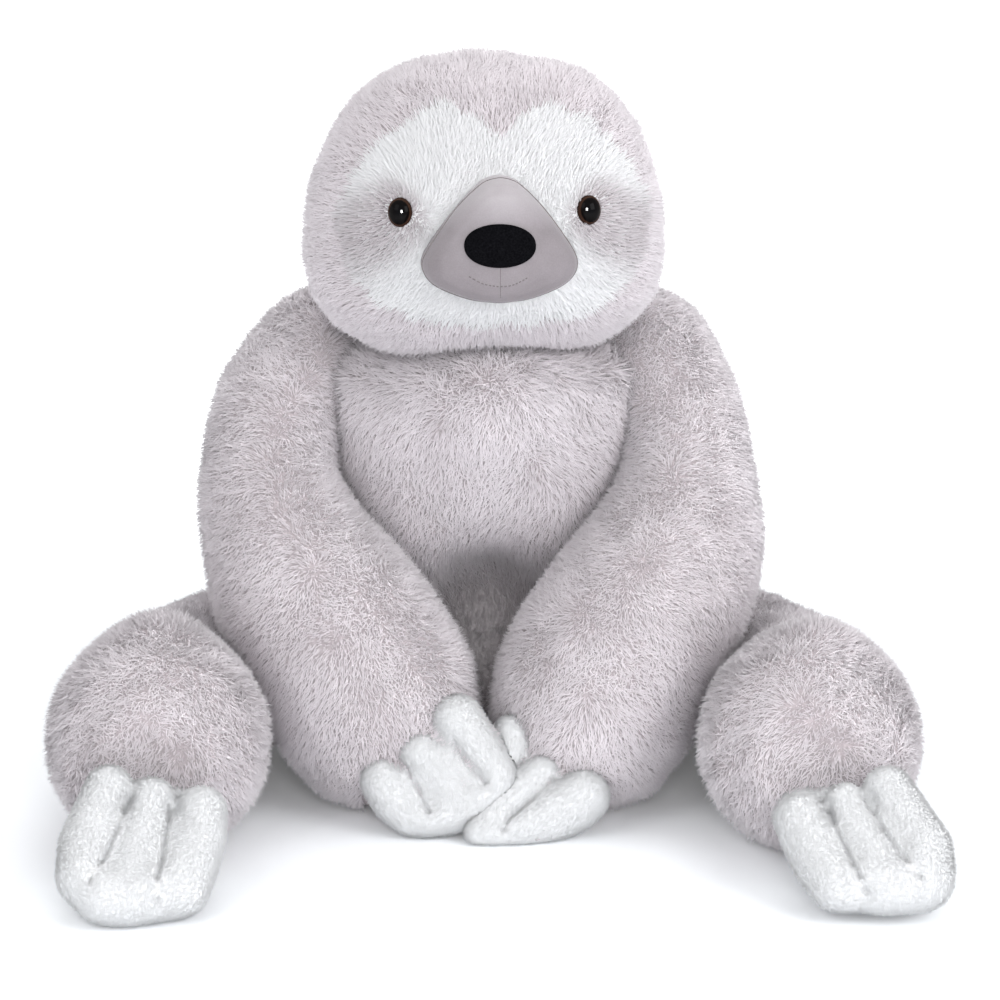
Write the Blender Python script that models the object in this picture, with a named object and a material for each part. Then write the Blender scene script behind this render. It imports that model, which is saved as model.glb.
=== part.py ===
"""A seated plush sloth: sewn covers over stuffing, with limbs that turn at their sewn ends.

Metres, +Z up. The toy looks along -Y, its own left side is +X, and the origin is the
middle of the flat seat. Each cover is a thin shell, open where it is sewn on.
"""

import math

import bmesh
import bpy
from mathutils import Matrix, Vector

# Cloth and clearances
CLOTH = 0.004
GAP = 0.0003
BALL_PLAY = 0.0010
SWING_PLAY = 0.0020
OVERRUN = 0.02
BALL_SEGMENTS = 24
SHARP_ANGLE = math.radians(50.0)

# Body: a pear that leans forward over its seat
BODY_HEIGHT = 0.345
BODY_HALF_WIDTH = 0.150
BODY_HALF_DEPTH = 0.112
BODY_SWAY = 0.044
BODY_SIDES = 24
# height, half width, half depth and sway forward, as shares of the four sizes above
BODY_SHARES = (
    (0.000, 0.68, 0.72, 0.00),
    (0.012, 0.81, 0.86, -0.05),
    (0.050, 0.92, 0.96, -0.18),
    (0.130, 0.99, 1.00, -0.33),
    (0.260, 1.00, 1.00, -0.35),
    (0.430, 0.95, 1.01, -0.18),
    (0.600, 0.90, 1.01, 0.15),
    (0.740, 0.86, 0.98, 0.42),
    (0.850, 0.82, 0.91, 0.68),
    (0.930, 0.73, 0.78, 0.86),
    (0.978, 0.565, 0.565, 0.95),
    (1.000, 0.34, 0.36, 1.00),
)

# Pellet bag in the seat
BAG_HALF_WIDTH = 0.062
BAG_HALF_DEPTH = 0.060
BAG_HALF_HEIGHT = 0.016
BAG_BACK = 0.015
BAG_LIFT = 0.011

# Head: a broad dome, turned a little towards the toy's left
HEAD_HEIGHT = 0.236
HEAD_LIFT = 0.346
HEAD_HALF_WIDTH = 0.139
HEAD_HALF_DEPTH = 0.109
HEAD_FORWARD = 0.072
HEAD_ASIDE = -0.003
HEAD_SIDES = 24
HEAD_YAW = math.radians(5.0)
# height and half width, as shares of the two sizes above
HEAD_SHARES = (
    (0.000, 0.26),
    (0.016, 0.50),
    (0.060, 0.69),
    (0.125, 0.85),
    (0.210, 0.965),
    (0.330, 1.000),
    (0.450, 0.990),
    (0.560, 0.955),
    (0.660, 0.895),
    (0.750, 0.815),
    (0.835, 0.700),
    (0.910, 0.545),
    (0.965, 0.350),
    (1.000, 0.120),
)

# Neck: a ball of firm fibre between the body and the head
NECK_RADIUS = 0.056
NECK_FORWARD = 0.050
NECK_LIFT = 0.340

# Face: a white panel let into the head cover
FACE_HALF_WIDTH = 0.119
FACE_UP = 0.033
FACE_BASE = HEAD_LIFT + FACE_UP
FACE_HEIGHT = 0.166
FACE_REACH = 0.16
# right half of the outline from the dip in the brow to the chin: across and up
FACE_OUTLINE_SHARES = (
    (0.000, 0.875),
    (0.100, 0.935),
    (0.280, 1.000),
    (0.480, 0.985),
    (0.740, 0.850),
    (0.940, 0.660),
    (1.000, 0.500),
    (0.965, 0.330),
    (0.840, 0.185),
    (0.600, 0.070),
    (0.300, 0.012),
    (0.000, 0.000),
)
FACE_PANEL_STEPS = 2

# Grey patches round the eyes, let into the white panel
PATCH_HALF_WIDTH = 0.030
PATCH_HALF_HEIGHT = 0.030
PATCH_OUT = 0.082
PATCH_UP = 0.120
PATCH_LIFT = HEAD_LIFT + PATCH_UP
PATCH_SIDES = 16

# Eyes with their shanks and lock washers
EYE_RADIUS = 0.0090
EYE_DOME = 0.0065
EYE_OUT = 0.0715
EYE_UP = 0.1245
EYE_LIFT = HEAD_LIFT + EYE_UP
EYE_SIDES = 16
EYE_ROWS = 5
EYE_TIP_TURN = math.radians(83.0)
SHANK_RADIUS = 0.0025
SHANK_LENGTH = 0.016
WASHER_RADIUS = 0.0095
WASHER_HOLE_PLAY = 0.0004
WASHER_THICK = 0.0016
WASHER_SINK = 0.0082
EYE_SPLAY = math.radians(26.0)
EYE_RISE = math.radians(7.0)

# Muzzle and nose
MUZZLE_HALF_WIDTH = 0.059
MUZZLE_UP = 0.058
MUZZLE_BASE = HEAD_LIFT + MUZZLE_UP
MUZZLE_HEIGHT = 0.096
MUZZLE_PROUD = 0.040
MUZZLE_OUTLINE_STEPS = 2
# right half of the muzzle's outline: across and up, from the top to the chin
MUZZLE_OUTLINE_SHARES = (
    (0.00, 1.00),
    (0.22, 0.96),
    (0.52, 0.78),
    (0.80, 0.56),
    (0.98, 0.38),
    (1.00, 0.27),
    (0.88, 0.16),
    (0.62, 0.08),
    (0.32, 0.02),
    (0.00, 0.00),
)
# how far forward each ring of the muzzle lies, and how wide it still is
MUZZLE_CROWN_SHARES = (
    (-0.80, 1.00),
    (0.00, 1.00),
    (0.30, 0.985),
    (0.58, 0.93),
    (0.79, 0.81),
    (0.92, 0.62),
    (0.985, 0.36),
    (1.00, 0.12),
)
MUZZLE_CENTRE_SHARE = 0.46
NOSE_HALF_WIDTH = 0.0270
NOSE_HALF_HEIGHT = 0.0170
NOSE_PROUD = 0.0070
NOSE_SINK = 0.0060
NOSE_UP = 0.107
NOSE_LIFT = HEAD_LIFT + NOSE_UP
NOSE_SIDES = 22
NOSE_ROWS = 6
NOSE_TIP_TURN = math.radians(83.0)

# Arms: slim at the shoulder, swollen towards the wrist
SHOULDER = Vector((0.127, 0.005, 0.327))
ARM_UPPER = Vector((0.160, -0.038, 0.290))
ARM_ELBOW = Vector((0.1715, -0.076, 0.245))
ARM_LOWER = Vector((0.1615, -0.106, 0.205))
ARM_FOREARM = Vector((0.138, -0.130, 0.163))
ARM_WRIST = Vector((0.105, -0.150, 0.118))
ARM_END = Vector((0.0835, -0.160, 0.0785))
SHOULDER_BALL = 0.0535
ARM_UPPER_RADIUS = 0.051
ARM_ELBOW_RADIUS = 0.051
ARM_LOWER_RADIUS = 0.060
ARM_FOREARM_RADIUS = 0.0725
ARM_WRIST_RADIUS = 0.0780
ARM_END_RADIUS = 0.079
ARM_SIDES = 16
ARM_STEPS = 2
ARM_INWARD_LEFT = 0.011
ARM_INWARD_RIGHT = 0.0
ARM_INWARD = {"left": ARM_INWARD_LEFT, "right": ARM_INWARD_RIGHT}
# how much of that each place of the arm takes, from the shoulder to the wrist
ARM_INWARD_SHARES = (0.0, 0.7, 1.0, 1.0, 0.6, 0.2, 0.0)
ARM_SWING_AXIS = Vector((-0.99, -0.04, 0.12))
ARM_SWING = math.radians(40.0)
ARM_SWING_STEPS = 2

# Legs: round, bent forward round the arms
HIP = Vector((0.148, 0.016, 0.0795))
LEG_THIGH = Vector((0.212, -0.034, 0.0705))
LEG_KNEE = Vector((0.252, -0.140, 0.0695))
LEG_END = Vector((0.246, -0.262, 0.0815))
HIP_BALL = 0.064
LEG_THIGH_RADIUS = 0.065
LEG_KNEE_RADIUS = 0.0680
LEG_END_RADIUS = 0.082
LEG_SIDES = 20
LEG_STEPS = 2
LEG_SPREAD = math.radians(30.0)

# Rows in each limb's round ends, and the sewn opening inside its ball
LIMB_END_STEPS = 3
LIMB_OPENING_SHARE = 0.62

# Feet: three-toed mitts that hang from the front of the legs
FOOT_LENGTH = 0.146
FOOT_HALF_WIDTH = 0.061
FOOT_HALF_THICK = 0.024
FOOT_PIVOT_DEPTH = 0.076
FOOT_PIVOT_LIFT = 0.086
FOOT_SLOPE = math.radians(33.2)
FOOT_ROLL = math.radians(8.0)
FOOT_RAISE = math.radians(35.0)
FOOT_RAISE_STEPS = 2

# Hands: smaller mitts of the same cut
HAND_LENGTH = 0.122
HAND_HALF_WIDTH = 0.059
HAND_HALF_THICK = 0.017
MITT_SIDES = 24
MITT_STEPS = 7
MITT_ROW_POWER = 0.9
MITT_WIDEST_SHARE = 0.6
MITT_TIP_POWER = 6
MITT_TIP_THICK_SHARE = 0.17
MITT_ROOT_POWER = 9
MITT_ROOT_THICK_SHARE = 0.32
MITT_SIDE_POWER = 9
MITT_TIP_WIDTH_SHARE = 0.63
MITT_BULGE_POWER = 0.8
MITT_CHANNEL_FADE_SHARE = 0.85
MITT_ROOT_SHARE = 0.84
MITT_CHANNEL_SHARE = 0.36
MITT_CHANNEL_WIDTH_SHARE = 0.15
MITT_TIP_NOTCH_SHARE = 0.035
MITT_ROOT_NOTCH_SHARE = 0.05
MITT_CROWN_SHARE = 0.10
MITT_FINGERS = 3

# Each side: the toy's own left is +X. The right hand lies over the left one.
SIDES = {"left": 1.0, "right": -1.0}
FOOT_OUT_LEFT = 0.262
FOOT_OUT_RIGHT = 0.243
FOOT_OUT = {"left": FOOT_OUT_LEFT, "right": FOOT_OUT_RIGHT}
FOOT_TOE_OUT = {"left": math.radians(9.0), "right": math.radians(5.0)}
HAND_ROOT_LEFT = Vector((0.068, -0.214, 0.064))
HAND_ROOT_RIGHT = Vector((-0.064, -0.214, 0.088))
HAND_ROOT = {"left": HAND_ROOT_LEFT, "right": HAND_ROOT_RIGHT}
HAND_AIM = {
    "left": Vector((-0.74, -0.36, -0.50)),
    "right": Vector((0.60, -0.36, -0.70)),
}
HAND_FACE = {
    "left": Vector((-0.12, -0.82, 0.62)),
    "right": Vector((-0.10, -0.92, 0.38)),
}
HAND_PART = Vector((0.006, -0.245, 0.048))
HAND_PART_NORMAL = Vector((-0.88, 0.20, 0.33))
HAND_PART_GAP = 0.0012


def clear_scene():
    """Removes what the scene holds."""
    for item in list(bpy.data.objects):
        bpy.data.objects.remove(item, do_unlink=True)
    for mesh in list(bpy.data.meshes):
        bpy.data.meshes.remove(mesh)


def material(name, colour, roughness, metallic=0.0):
    """A Principled material of one colour."""
    made = bpy.data.materials.new(name)
    made.use_nodes = True
    shader = made.node_tree.nodes["Principled BSDF"]
    shader.inputs["Base Color"].default_value = (*colour, 1.0)
    shader.inputs["Roughness"].default_value = roughness
    shader.inputs["Metallic"].default_value = metallic
    return made


def add_object(name, shape, finish=None, parent=None):
    """Puts a bmesh in the scene as a named object, smooth except at its sharp edges."""
    mesh = bpy.data.meshes.new(name)
    shape.to_mesh(mesh)
    shape.free()
    made = bpy.data.objects.new(name, mesh)
    bpy.context.scene.collection.objects.link(made)
    if finish is not None:
        mesh.materials.append(finish)
    mesh.shade_smooth()
    mesh.set_sharp_from_angle(angle=SHARP_ANGLE)
    if parent is not None:
        made.parent = parent
    return made


def add_empty(name, place, turn=0.0):
    """An empty on a joint's axis, from which the moving pieces hang."""
    made = bpy.data.objects.new(name, None)
    made.empty_display_size = GAP
    made.location = place
    made.rotation_euler = (0.0, 0.0, turn)
    bpy.context.scene.collection.objects.link(made)
    return made


def cutter(name, shape, parent=None):
    """A hidden helper for a Boolean."""
    made = add_object(name, shape, parent=parent)
    made.hide_render = True
    made.display_type = "WIRE"
    return made


def boolean(target, tool, operation="DIFFERENCE"):
    """Adds an exact Boolean to the target."""
    step = target.modifiers.new(f"{operation.lower()} {tool.name}", "BOOLEAN")
    step.operation = operation
    step.solver = "EXACT"
    step.object = tool


def rings_shape(rings):
    """A closed skin over a row of rings, which all have as many points."""
    shape = bmesh.new()
    rows = [[shape.verts.new(point) for point in ring] for ring in rings]
    count = len(rows[0])
    for below, above in zip(rows, rows[1:]):
        for k in range(count):
            after = (k + 1) % count
            shape.faces.new((below[k], below[after], above[after], above[k]))
    shape.faces.new(tuple(reversed(rows[0])))
    shape.faces.new(tuple(rows[-1]))
    bmesh.ops.recalc_face_normals(shape, faces=shape.faces)
    return shape


def grown(shape, amount):
    """A copy of a shape with each point moved along its normal."""
    copy = shape.copy()
    copy.normal_update()
    places = [(vertex, vertex.co + vertex.normal * amount) for vertex in copy.verts]
    for vertex, place in places:
        vertex.co = place
    return copy


def shell_of(shape):
    """The cloth of a form: its outside, and an inside wall one cloth further in."""
    outside = shape.copy()
    inside = grown(shape, -CLOTH)
    bmesh.ops.reverse_faces(inside, faces=inside.faces)
    keep = bpy.data.meshes.new("inside wall")
    inside.to_mesh(keep)
    inside.free()
    outside.from_mesh(keep)
    bpy.data.meshes.remove(keep)
    return outside


def stuffing_of(shape):
    """The fibre in a form, clear of its cloth."""
    return grown(shape, -(CLOTH + GAP))


def smooth_curve(points, steps):
    """Points along a Catmull-Rom curve through rows of numbers."""
    rows = [points[0], *points, points[-1]]
    found = []
    for a, b, c, d in zip(rows, rows[1:], rows[2:], rows[3:]):
        for k in range(steps):
            t = k / steps
            point = []
            for p, q, r, s in zip(a, b, c, d):
                squared = p - 2.5 * q + 2 * r - s / 2
                cubed = 1.5 * (q - r) + (s - p) / 2
                point.append(q + (r - p) * t / 2 + squared * t**2 + cubed * t**3)
            found.append(tuple(point))
    found.append(tuple(points[-1]))
    return found


def stacked_form(levels, sides):
    """A form of level oval rings: middle, half width and half depth of each."""
    rings = []
    for middle, half_width, half_depth in levels:
        ring = []
        for k in range(sides):
            angle = math.tau * k / sides
            offset = Vector((half_width * math.cos(angle), half_depth * math.sin(angle), 0.0))
            ring.append(middle + offset)
        rings.append(ring)
    return rings_shape(rings)


def body_form():
    """The body from its flat seat to the neck."""
    levels = []
    for up, wide, deep, sway in BODY_SHARES:
        middle = Vector((0.0, -BODY_SWAY * sway, BODY_HEIGHT * up))
        levels.append((middle, BODY_HALF_WIDTH * wide, BODY_HALF_DEPTH * deep))
    shape = stacked_form(levels, BODY_SIDES)
    bmesh.ops.triangulate(shape, faces=shape.faces)
    return shape


def head_form():
    """The head's dome, in the frame of the neck empty."""
    levels = []
    for up, wide in HEAD_SHARES:
        middle = Vector((HEAD_ASIDE, NECK_FORWARD - HEAD_FORWARD, HEAD_LIFT - NECK_LIFT + HEAD_HEIGHT * up))
        levels.append((middle, HEAD_HALF_WIDTH * wide, HEAD_HALF_DEPTH * wide))
    return stacked_form(levels, HEAD_SIDES)


def ball(radius, place=Vector(), segments=BALL_SEGMENTS):
    """A round ball."""
    shape = bmesh.new()
    bmesh.ops.create_uvsphere(shape, u_segments=segments, v_segments=segments // 2, radius=radius)
    bmesh.ops.translate(shape, verts=shape.verts, vec=place)
    return shape


def limb_form(stations, sides, steps):
    """A stuffed tube with a ball at its first place and a round end at its last."""
    rows = [(*place, radius) for place, radius in stations]
    path = [(Vector(row[:3]), row[3]) for row in smooth_curve(rows, steps)]
    places = [place for place, _ in path]
    rings = []
    across = Vector((0.0, 0.0, 1.0))

    def ring(middle, along, radius):
        side = across.cross(along).normalized()
        lift = along.cross(side).normalized()
        turns = [math.tau * k / sides for k in range(sides)]
        return [middle + side * radius * math.cos(a) + lift * radius * math.sin(a) for a in turns]

    def ring_frame(along):
        nonlocal across
        side = across.cross(along).normalized()
        across = along.cross(side).normalized()

    start_along = (places[1] - places[0]).normalized()
    end_along = (places[-1] - places[-2]).normalized()
    if abs(start_along.z) > max(abs(start_along.x), abs(start_along.y)):
        across = Vector((0.0, 1.0, 0.0))
    ring_frame(start_along)
    for k in range(1, LIMB_END_STEPS):
        angle = math.pi / 2 * k / LIMB_END_STEPS
        back = start_along * (-path[0][1] * math.cos(angle))
        rings.append(ring(places[0] + back, start_along, path[0][1] * math.sin(angle)))
    for k, (place, radius) in enumerate(path):
        before = places[max(k - 1, 0)]
        after = places[min(k + 1, len(places) - 1)]
        along = (after - before).normalized()
        ring_frame(along)
        rings.append(ring(place, along, radius))
    ring_frame(end_along)
    for k in range(LIMB_END_STEPS - 1, 0, -1):
        angle = math.pi / 2 * k / LIMB_END_STEPS
        ahead = end_along * (path[-1][1] * math.cos(angle))
        rings.append(ring(places[-1] + ahead, end_along, path[-1][1] * math.sin(angle)))
    return rings_shape(rings)


def block(low, high):
    """A box between two corners."""
    shape = bmesh.new()
    bmesh.ops.create_cube(shape, size=1.0)
    size = high - low
    bmesh.ops.scale(shape, verts=shape.verts, vec=size)
    bmesh.ops.translate(shape, verts=shape.verts, vec=(low + high) / 2)
    return shape


def mirrored(vector, side):
    """A place on the left side, carried to the side that is asked for."""
    return Vector((vector.x * SIDES[side], vector.y, vector.z))


def frame_matrix(origin, along, face):
    """A frame at a place whose Y runs along and whose Z is the face's side."""
    y_axis = along.normalized()
    x_axis = y_axis.cross(face).normalized()
    z_axis = x_axis.cross(y_axis).normalized()
    turn = Matrix((x_axis, y_axis, z_axis)).transposed().to_4x4()
    return Matrix.Translation(origin) @ turn


def mitt_form(length, half_width, half_thick):
    """A mitt of three stuffed fingers side by side, from its round root along +Y."""
    finger = 2.0 / MITT_FINGERS
    rings = []
    for step in range(MITT_STEPS + 1):
        along = math.sin(math.pi / 2 * step / MITT_STEPS) ** MITT_ROW_POWER
        swell = math.sin(math.pi / 2 * min(along / MITT_WIDEST_SHARE, 1.0))
        spread = MITT_ROOT_SHARE + (1 - MITT_ROOT_SHARE) * swell
        tip = max(math.sqrt(max(1 - along**MITT_TIP_POWER, 0.0)), MITT_TIP_THICK_SHARE)
        root = max(math.sqrt(1 - (1 - along) ** MITT_ROOT_POWER), MITT_ROOT_THICK_SHARE)
        narrow = max(math.sqrt(max(1 - along**MITT_SIDE_POWER, 0.0)), MITT_TIP_WIDTH_SHARE)
        wide = half_width * spread * narrow
        deepest = 1.0 - MITT_CHANNEL_FADE_SHARE * along**3
        ring = []
        for k in range(MITT_SIDES):
            angle = math.tau * k / MITT_SIDES
            across = math.cos(angle)
            bulge = abs(math.sin(angle)) ** MITT_BULGE_POWER
            centre = round(across / finger) * finger
            inside = min(abs(across - centre) / (finger / 2), 1.0)
            channel = 0.0
            for seam in range(1, MITT_FINGERS):
                offset = across - (seam * finger - 1)
                channel += math.exp(-((offset / MITT_CHANNEL_WIDTH_SHARE) ** 2))
            thick = half_thick * bulge * root * tip * (1 - MITT_CHANNEL_SHARE * channel * deepest)
            notch = MITT_TIP_NOTCH_SHARE * along**3 - MITT_ROOT_NOTCH_SHARE * (1 - along) ** 3
            reach = along - notch * inside**2 - MITT_CROWN_SHARE * across**4 * along**2
            place = Vector((wide * across, length * reach, math.copysign(thick, math.sin(angle))))
            ring.append(place)
        rings.append(ring)
    shape = rings_shape(rings)
    bmesh.ops.triangulate(shape, faces=shape.faces)
    return shape


def outline_prism(outline, middle_height, half_depth, shrink=0.0):
    """A prism along Y over an outline in X and Z, drawn in by shrink."""
    loop = []
    count = len(outline)
    for k in range(count):
        before = outline[k - 1]
        after = outline[(k + 1) % count]
        along = (after - before).normalized()
        inward = Vector((-along.z, 0.0, along.x))
        if inward.dot(middle_height - outline[k]) < 0:
            inward = -inward
        loop.append(outline[k] + inward * shrink)
    front = [point + Vector((0.0, -half_depth, 0.0)) for point in loop]
    back = [point.copy() for point in loop]
    return rings_shape([front, back])


def mirrored_outline(shares, half_width, base, height, steps):
    """A whole outline in X and Z from its right half in shares, smoothed."""
    half = smooth_curve([(across, up) for across, up in shares], steps)
    right = [Vector((half_width * across, 0.0, base + height * up)) for across, up in half]
    left = [Vector((-point.x, 0.0, point.z)) for point in reversed(right[1:-1])]
    return right + left


def floor_cutter():
    """Everything below the floor."""
    reach = BODY_HALF_WIDTH + LEG_END.x + FOOT_LENGTH
    low = Vector((-reach, -reach - FOOT_LENGTH, -OVERRUN))
    high = Vector((reach, reach, 0.0))
    return cutter("floor_cutter", block(low, high))


def make_body(cloth, fibre, pellets):
    """The body cover, its fibre and the pellet bag in the seat."""
    form = body_form()
    cover = add_object("body_cover", shell_of(form), cloth)
    filling = add_object("body_stuffing", stuffing_of(form), fibre)
    form.free()
    for side in SIDES:
        shoulder_ball = ball(SHOULDER_BALL + BALL_PLAY, mirrored(SHOULDER, side))
        shoulder = cutter(f"shoulder_hollow_{side}", shoulder_ball)
        hip = cutter(f"hip_hollow_{side}", ball(HIP_BALL + BALL_PLAY, mirrored(HIP, side)))
        for target in (cover, filling):
            boolean(target, shoulder)
            boolean(target, hip)
    neck_place = Vector((0.0, -NECK_FORWARD, NECK_LIFT))
    neck = cutter("neck_hollow_body", ball(NECK_RADIUS + BALL_PLAY, neck_place))
    boolean(cover, neck)
    boolean(filling, neck)
    bag_place = Vector((0.0, BAG_BACK, BAG_LIFT + BAG_HALF_HEIGHT))
    bag = ball(BAG_HALF_HEIGHT, segments=BALL_SEGMENTS // 2)
    stretch = Vector((BAG_HALF_WIDTH / BAG_HALF_HEIGHT, BAG_HALF_DEPTH / BAG_HALF_HEIGHT, 1.0))
    bmesh.ops.scale(bag, verts=bag.verts, vec=stretch)
    bmesh.ops.translate(bag, verts=bag.verts, vec=bag_place)
    pocket = bag.copy()
    roomy = grown(pocket, GAP)
    pocket.free()
    mouth = block(
        bag_place - Vector((BAG_HALF_WIDTH / 2, BAG_HALF_DEPTH / 2, BAG_LIFT + BAG_HALF_HEIGHT)),
        bag_place + Vector((BAG_HALF_WIDTH / 2, BAG_HALF_DEPTH / 2, 0.0)),
    )
    add_object("seat_pellet_bag", bag, pellets)
    boolean(filling, cutter("pellet_pocket", roomy))
    boolean(filling, cutter("pellet_pocket_mouth", mouth))


def make_limb(name, stations, ball_radius, sides, steps, side, cloth, fibre, hinge, cuts):
    """A limb's cover and fibre, cut by what they are sewn to or rest on."""
    placed = [(mirrored(place, side), radius) for place, radius in stations]
    form = limb_form(placed, sides, steps)
    bmesh.ops.translate(form, verts=form.verts, vec=-hinge.location)
    cover = add_object(f"{name}_cover_{side}", shell_of(form), cloth, hinge)
    filling = add_object(f"{name}_stuffing_{side}", stuffing_of(form), fibre, hinge)
    form.free()
    inward = Vector((-placed[0][0].x, -placed[0][0].y, 0.0)).normalized()
    opening = ball(ball_radius * LIMB_OPENING_SHARE, inward * ball_radius, BALL_SEGMENTS // 2)
    boolean(cover, cutter(f"{name}_opening_{side}", opening, hinge))
    for tool in cuts:
        boolean(cover, tool)
        boolean(filling, tool)


def seat_cutter(name, centre, radius, axis, swing, steps):
    """The body's space as a limb meets it on its swing, open where the limb's ball sits in it."""
    form = body_form()
    room = grown(form, SWING_PLAY)
    form.free()
    made = None
    for step in range(steps + 1):
        shape = room.copy()
        back = Matrix.Rotation(-swing * step / steps, 4, axis)
        about = Matrix.Translation(centre) @ back @ Matrix.Translation(-centre)
        bmesh.ops.transform(shape, matrix=about, verts=shape.verts)
        tool = cutter(f"{name}_{step}", shape)
        if made is None:
            made = tool
        else:
            boolean(made, tool, "UNION")
    room.free()
    boolean(made, cutter(f"{name}_ball", ball(radius, centre)))
    return made


def make_leg(side, cloth, fibre, white, floor):
    """A leg and its foot, which hangs from an ankle pivot in the leg's front."""
    hinge = add_empty(f"hip_{side}", mirrored(HIP, side))
    pivot = Vector((SIDES[side] * FOOT_OUT[side], LEG_END.y - FOOT_PIVOT_DEPTH, FOOT_PIVOT_LIFT))
    out = SIDES[side] * math.sin(FOOT_TOE_OUT[side])
    aim = Vector((out, -math.cos(FOOT_SLOPE), -math.sin(FOOT_SLOPE)))
    face = Vector((-SIDES[side] * math.sin(FOOT_ROLL), -math.sin(FOOT_SLOPE), math.cos(FOOT_SLOPE)))
    ankle = add_empty(f"ankle_{side}", pivot - mirrored(HIP, side))
    ankle.parent = hinge
    turn = frame_matrix(Vector(), aim, face)
    mitt = mitt_form(FOOT_LENGTH, FOOT_HALF_WIDTH, FOOT_HALF_THICK)
    bmesh.ops.transform(mitt, matrix=turn, verts=mitt.verts)
    holes = []
    for step in range(FOOT_RAISE_STEPS + 1):
        room = grown(mitt, BALL_PLAY)
        raised = Matrix.Rotation(-FOOT_RAISE * step / FOOT_RAISE_STEPS, 4, "X")
        bmesh.ops.transform(room, matrix=raised, verts=room.verts)
        holes.append(cutter(f"foot_hollow_{side}_{step}", room, ankle))
    foot = add_object(f"foot_{side}", mitt, white, ankle)
    boolean(foot, floor)
    stations = (
        (HIP, HIP_BALL),
        (LEG_THIGH, LEG_THIGH_RADIUS),
        (LEG_KNEE, LEG_KNEE_RADIUS),
        (LEG_END, LEG_END_RADIUS),
    )
    axis = Vector((0.0, 0.0, SIDES[side]))
    seat = seat_cutter(f"leg_seat_{side}", mirrored(HIP, side), HIP_BALL, axis, LEG_SPREAD, 1)
    make_limb(
        "leg", stations, HIP_BALL, LEG_SIDES, LEG_STEPS, side, cloth, fibre, hinge, (seat, floor, *holes)
    )


def make_arm(side, cloth, fibre, white, floor):
    """An arm and its hand, which is sewn into the cuff."""
    hinge = add_empty(f"shoulder_{side}", mirrored(SHOULDER, side))
    turn = frame_matrix(HAND_ROOT[side] - mirrored(SHOULDER, side), HAND_AIM[side], HAND_FACE[side])
    mitt = mitt_form(HAND_LENGTH, HAND_HALF_WIDTH, HAND_HALF_THICK)
    bmesh.ops.transform(mitt, matrix=turn, verts=mitt.verts)
    hole = cutter(f"hand_hollow_{side}", grown(mitt, BALL_PLAY), hinge)
    hand = add_object(f"hand_{side}", mitt, white, hinge)
    boolean(hand, floor)
    boolean(hand, parting_cutter(side))
    stations = (
        (SHOULDER, SHOULDER_BALL),
        (ARM_UPPER, ARM_UPPER_RADIUS),
        (ARM_ELBOW, ARM_ELBOW_RADIUS),
        (ARM_LOWER, ARM_LOWER_RADIUS),
        (ARM_FOREARM, ARM_FOREARM_RADIUS),
        (ARM_WRIST, ARM_WRIST_RADIUS),
        (ARM_END, ARM_END_RADIUS),
    )
    inward = [Vector((ARM_INWARD[side] * share, 0.0, 0.0)) for share in ARM_INWARD_SHARES]
    stations = [(station - inset, radius) for (station, radius), inset in zip(stations, inward)]
    axis = Vector((ARM_SWING_AXIS.x, ARM_SWING_AXIS.y * SIDES[side], ARM_SWING_AXIS.z * SIDES[side]))
    place = mirrored(SHOULDER, side)
    seat = seat_cutter(f"arm_seat_{side}", place, SHOULDER_BALL, axis, ARM_SWING, ARM_SWING_STEPS)
    make_limb(
        "arm", stations, SHOULDER_BALL, ARM_SIDES, ARM_STEPS, side, cloth, fibre, hinge, (seat, floor, hole)
    )


def parting_cutter(side):
    """What lies beyond the plane where the two hands press on each other."""
    away = HAND_PART_NORMAL.normalized() * -SIDES[side]
    reach = HAND_LENGTH * 2
    shape = block(Vector((-reach, -reach, -reach)), Vector((reach, reach, 0.0)))
    turn = away.to_track_quat("Z", "Y").to_matrix().to_4x4()
    shift = Matrix.Translation(HAND_PART + away * HAND_PART_GAP)
    bmesh.ops.transform(shape, matrix=shift @ turn, verts=shape.verts)
    return cutter(f"hand_parting_{side}", shape)


def head_surface(across, lift):
    """How far forward the head's front lies, in the neck's frame."""
    up = (lift - HEAD_LIFT) / HEAD_HEIGHT
    wide = 0.0
    for (low, low_wide), (high, high_wide) in zip(HEAD_SHARES, HEAD_SHARES[1:]):
        if low <= up <= high:
            wide = low_wide + (high_wide - low_wide) * (up - low) / (high - low)
    inside = max(1 - (across / (HEAD_HALF_WIDTH * wide)) ** 2, 0.0)
    return NECK_FORWARD - HEAD_FORWARD - HEAD_HALF_DEPTH * wide * math.sqrt(inside)


def eye_shape():
    """A glossy dome on a shank, in the neck's frame."""
    profile = [(SHANK_RADIUS, -SHANK_LENGTH), (SHANK_RADIUS, 0.0)]
    for k in range(EYE_ROWS + 1):
        turn = EYE_TIP_TURN * k / EYE_ROWS
        profile.append((EYE_RADIUS * math.cos(turn), EYE_DOME * math.sin(turn)))
    rings = []
    for radius, out in profile:
        turns = [math.tau * k / EYE_SIDES for k in range(EYE_SIDES)]
        rings.append([Vector((radius * math.cos(a), radius * math.sin(a), out)) for a in turns])
    return rings_shape(rings)


def eye_matrix(side):
    """The eye's seat on the head, looking outwards."""
    across = SIDES[side] * EYE_OUT
    out = Vector((SIDES[side] * math.sin(EYE_SPLAY), -math.cos(EYE_SPLAY), math.sin(EYE_RISE))).normalized()
    place = Vector((across, head_surface(EYE_OUT, EYE_LIFT), EYE_LIFT - NECK_LIFT))
    place += out * GAP
    return Matrix.Translation(place) @ out.to_track_quat("Z", "Y").to_matrix().to_4x4()


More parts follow.
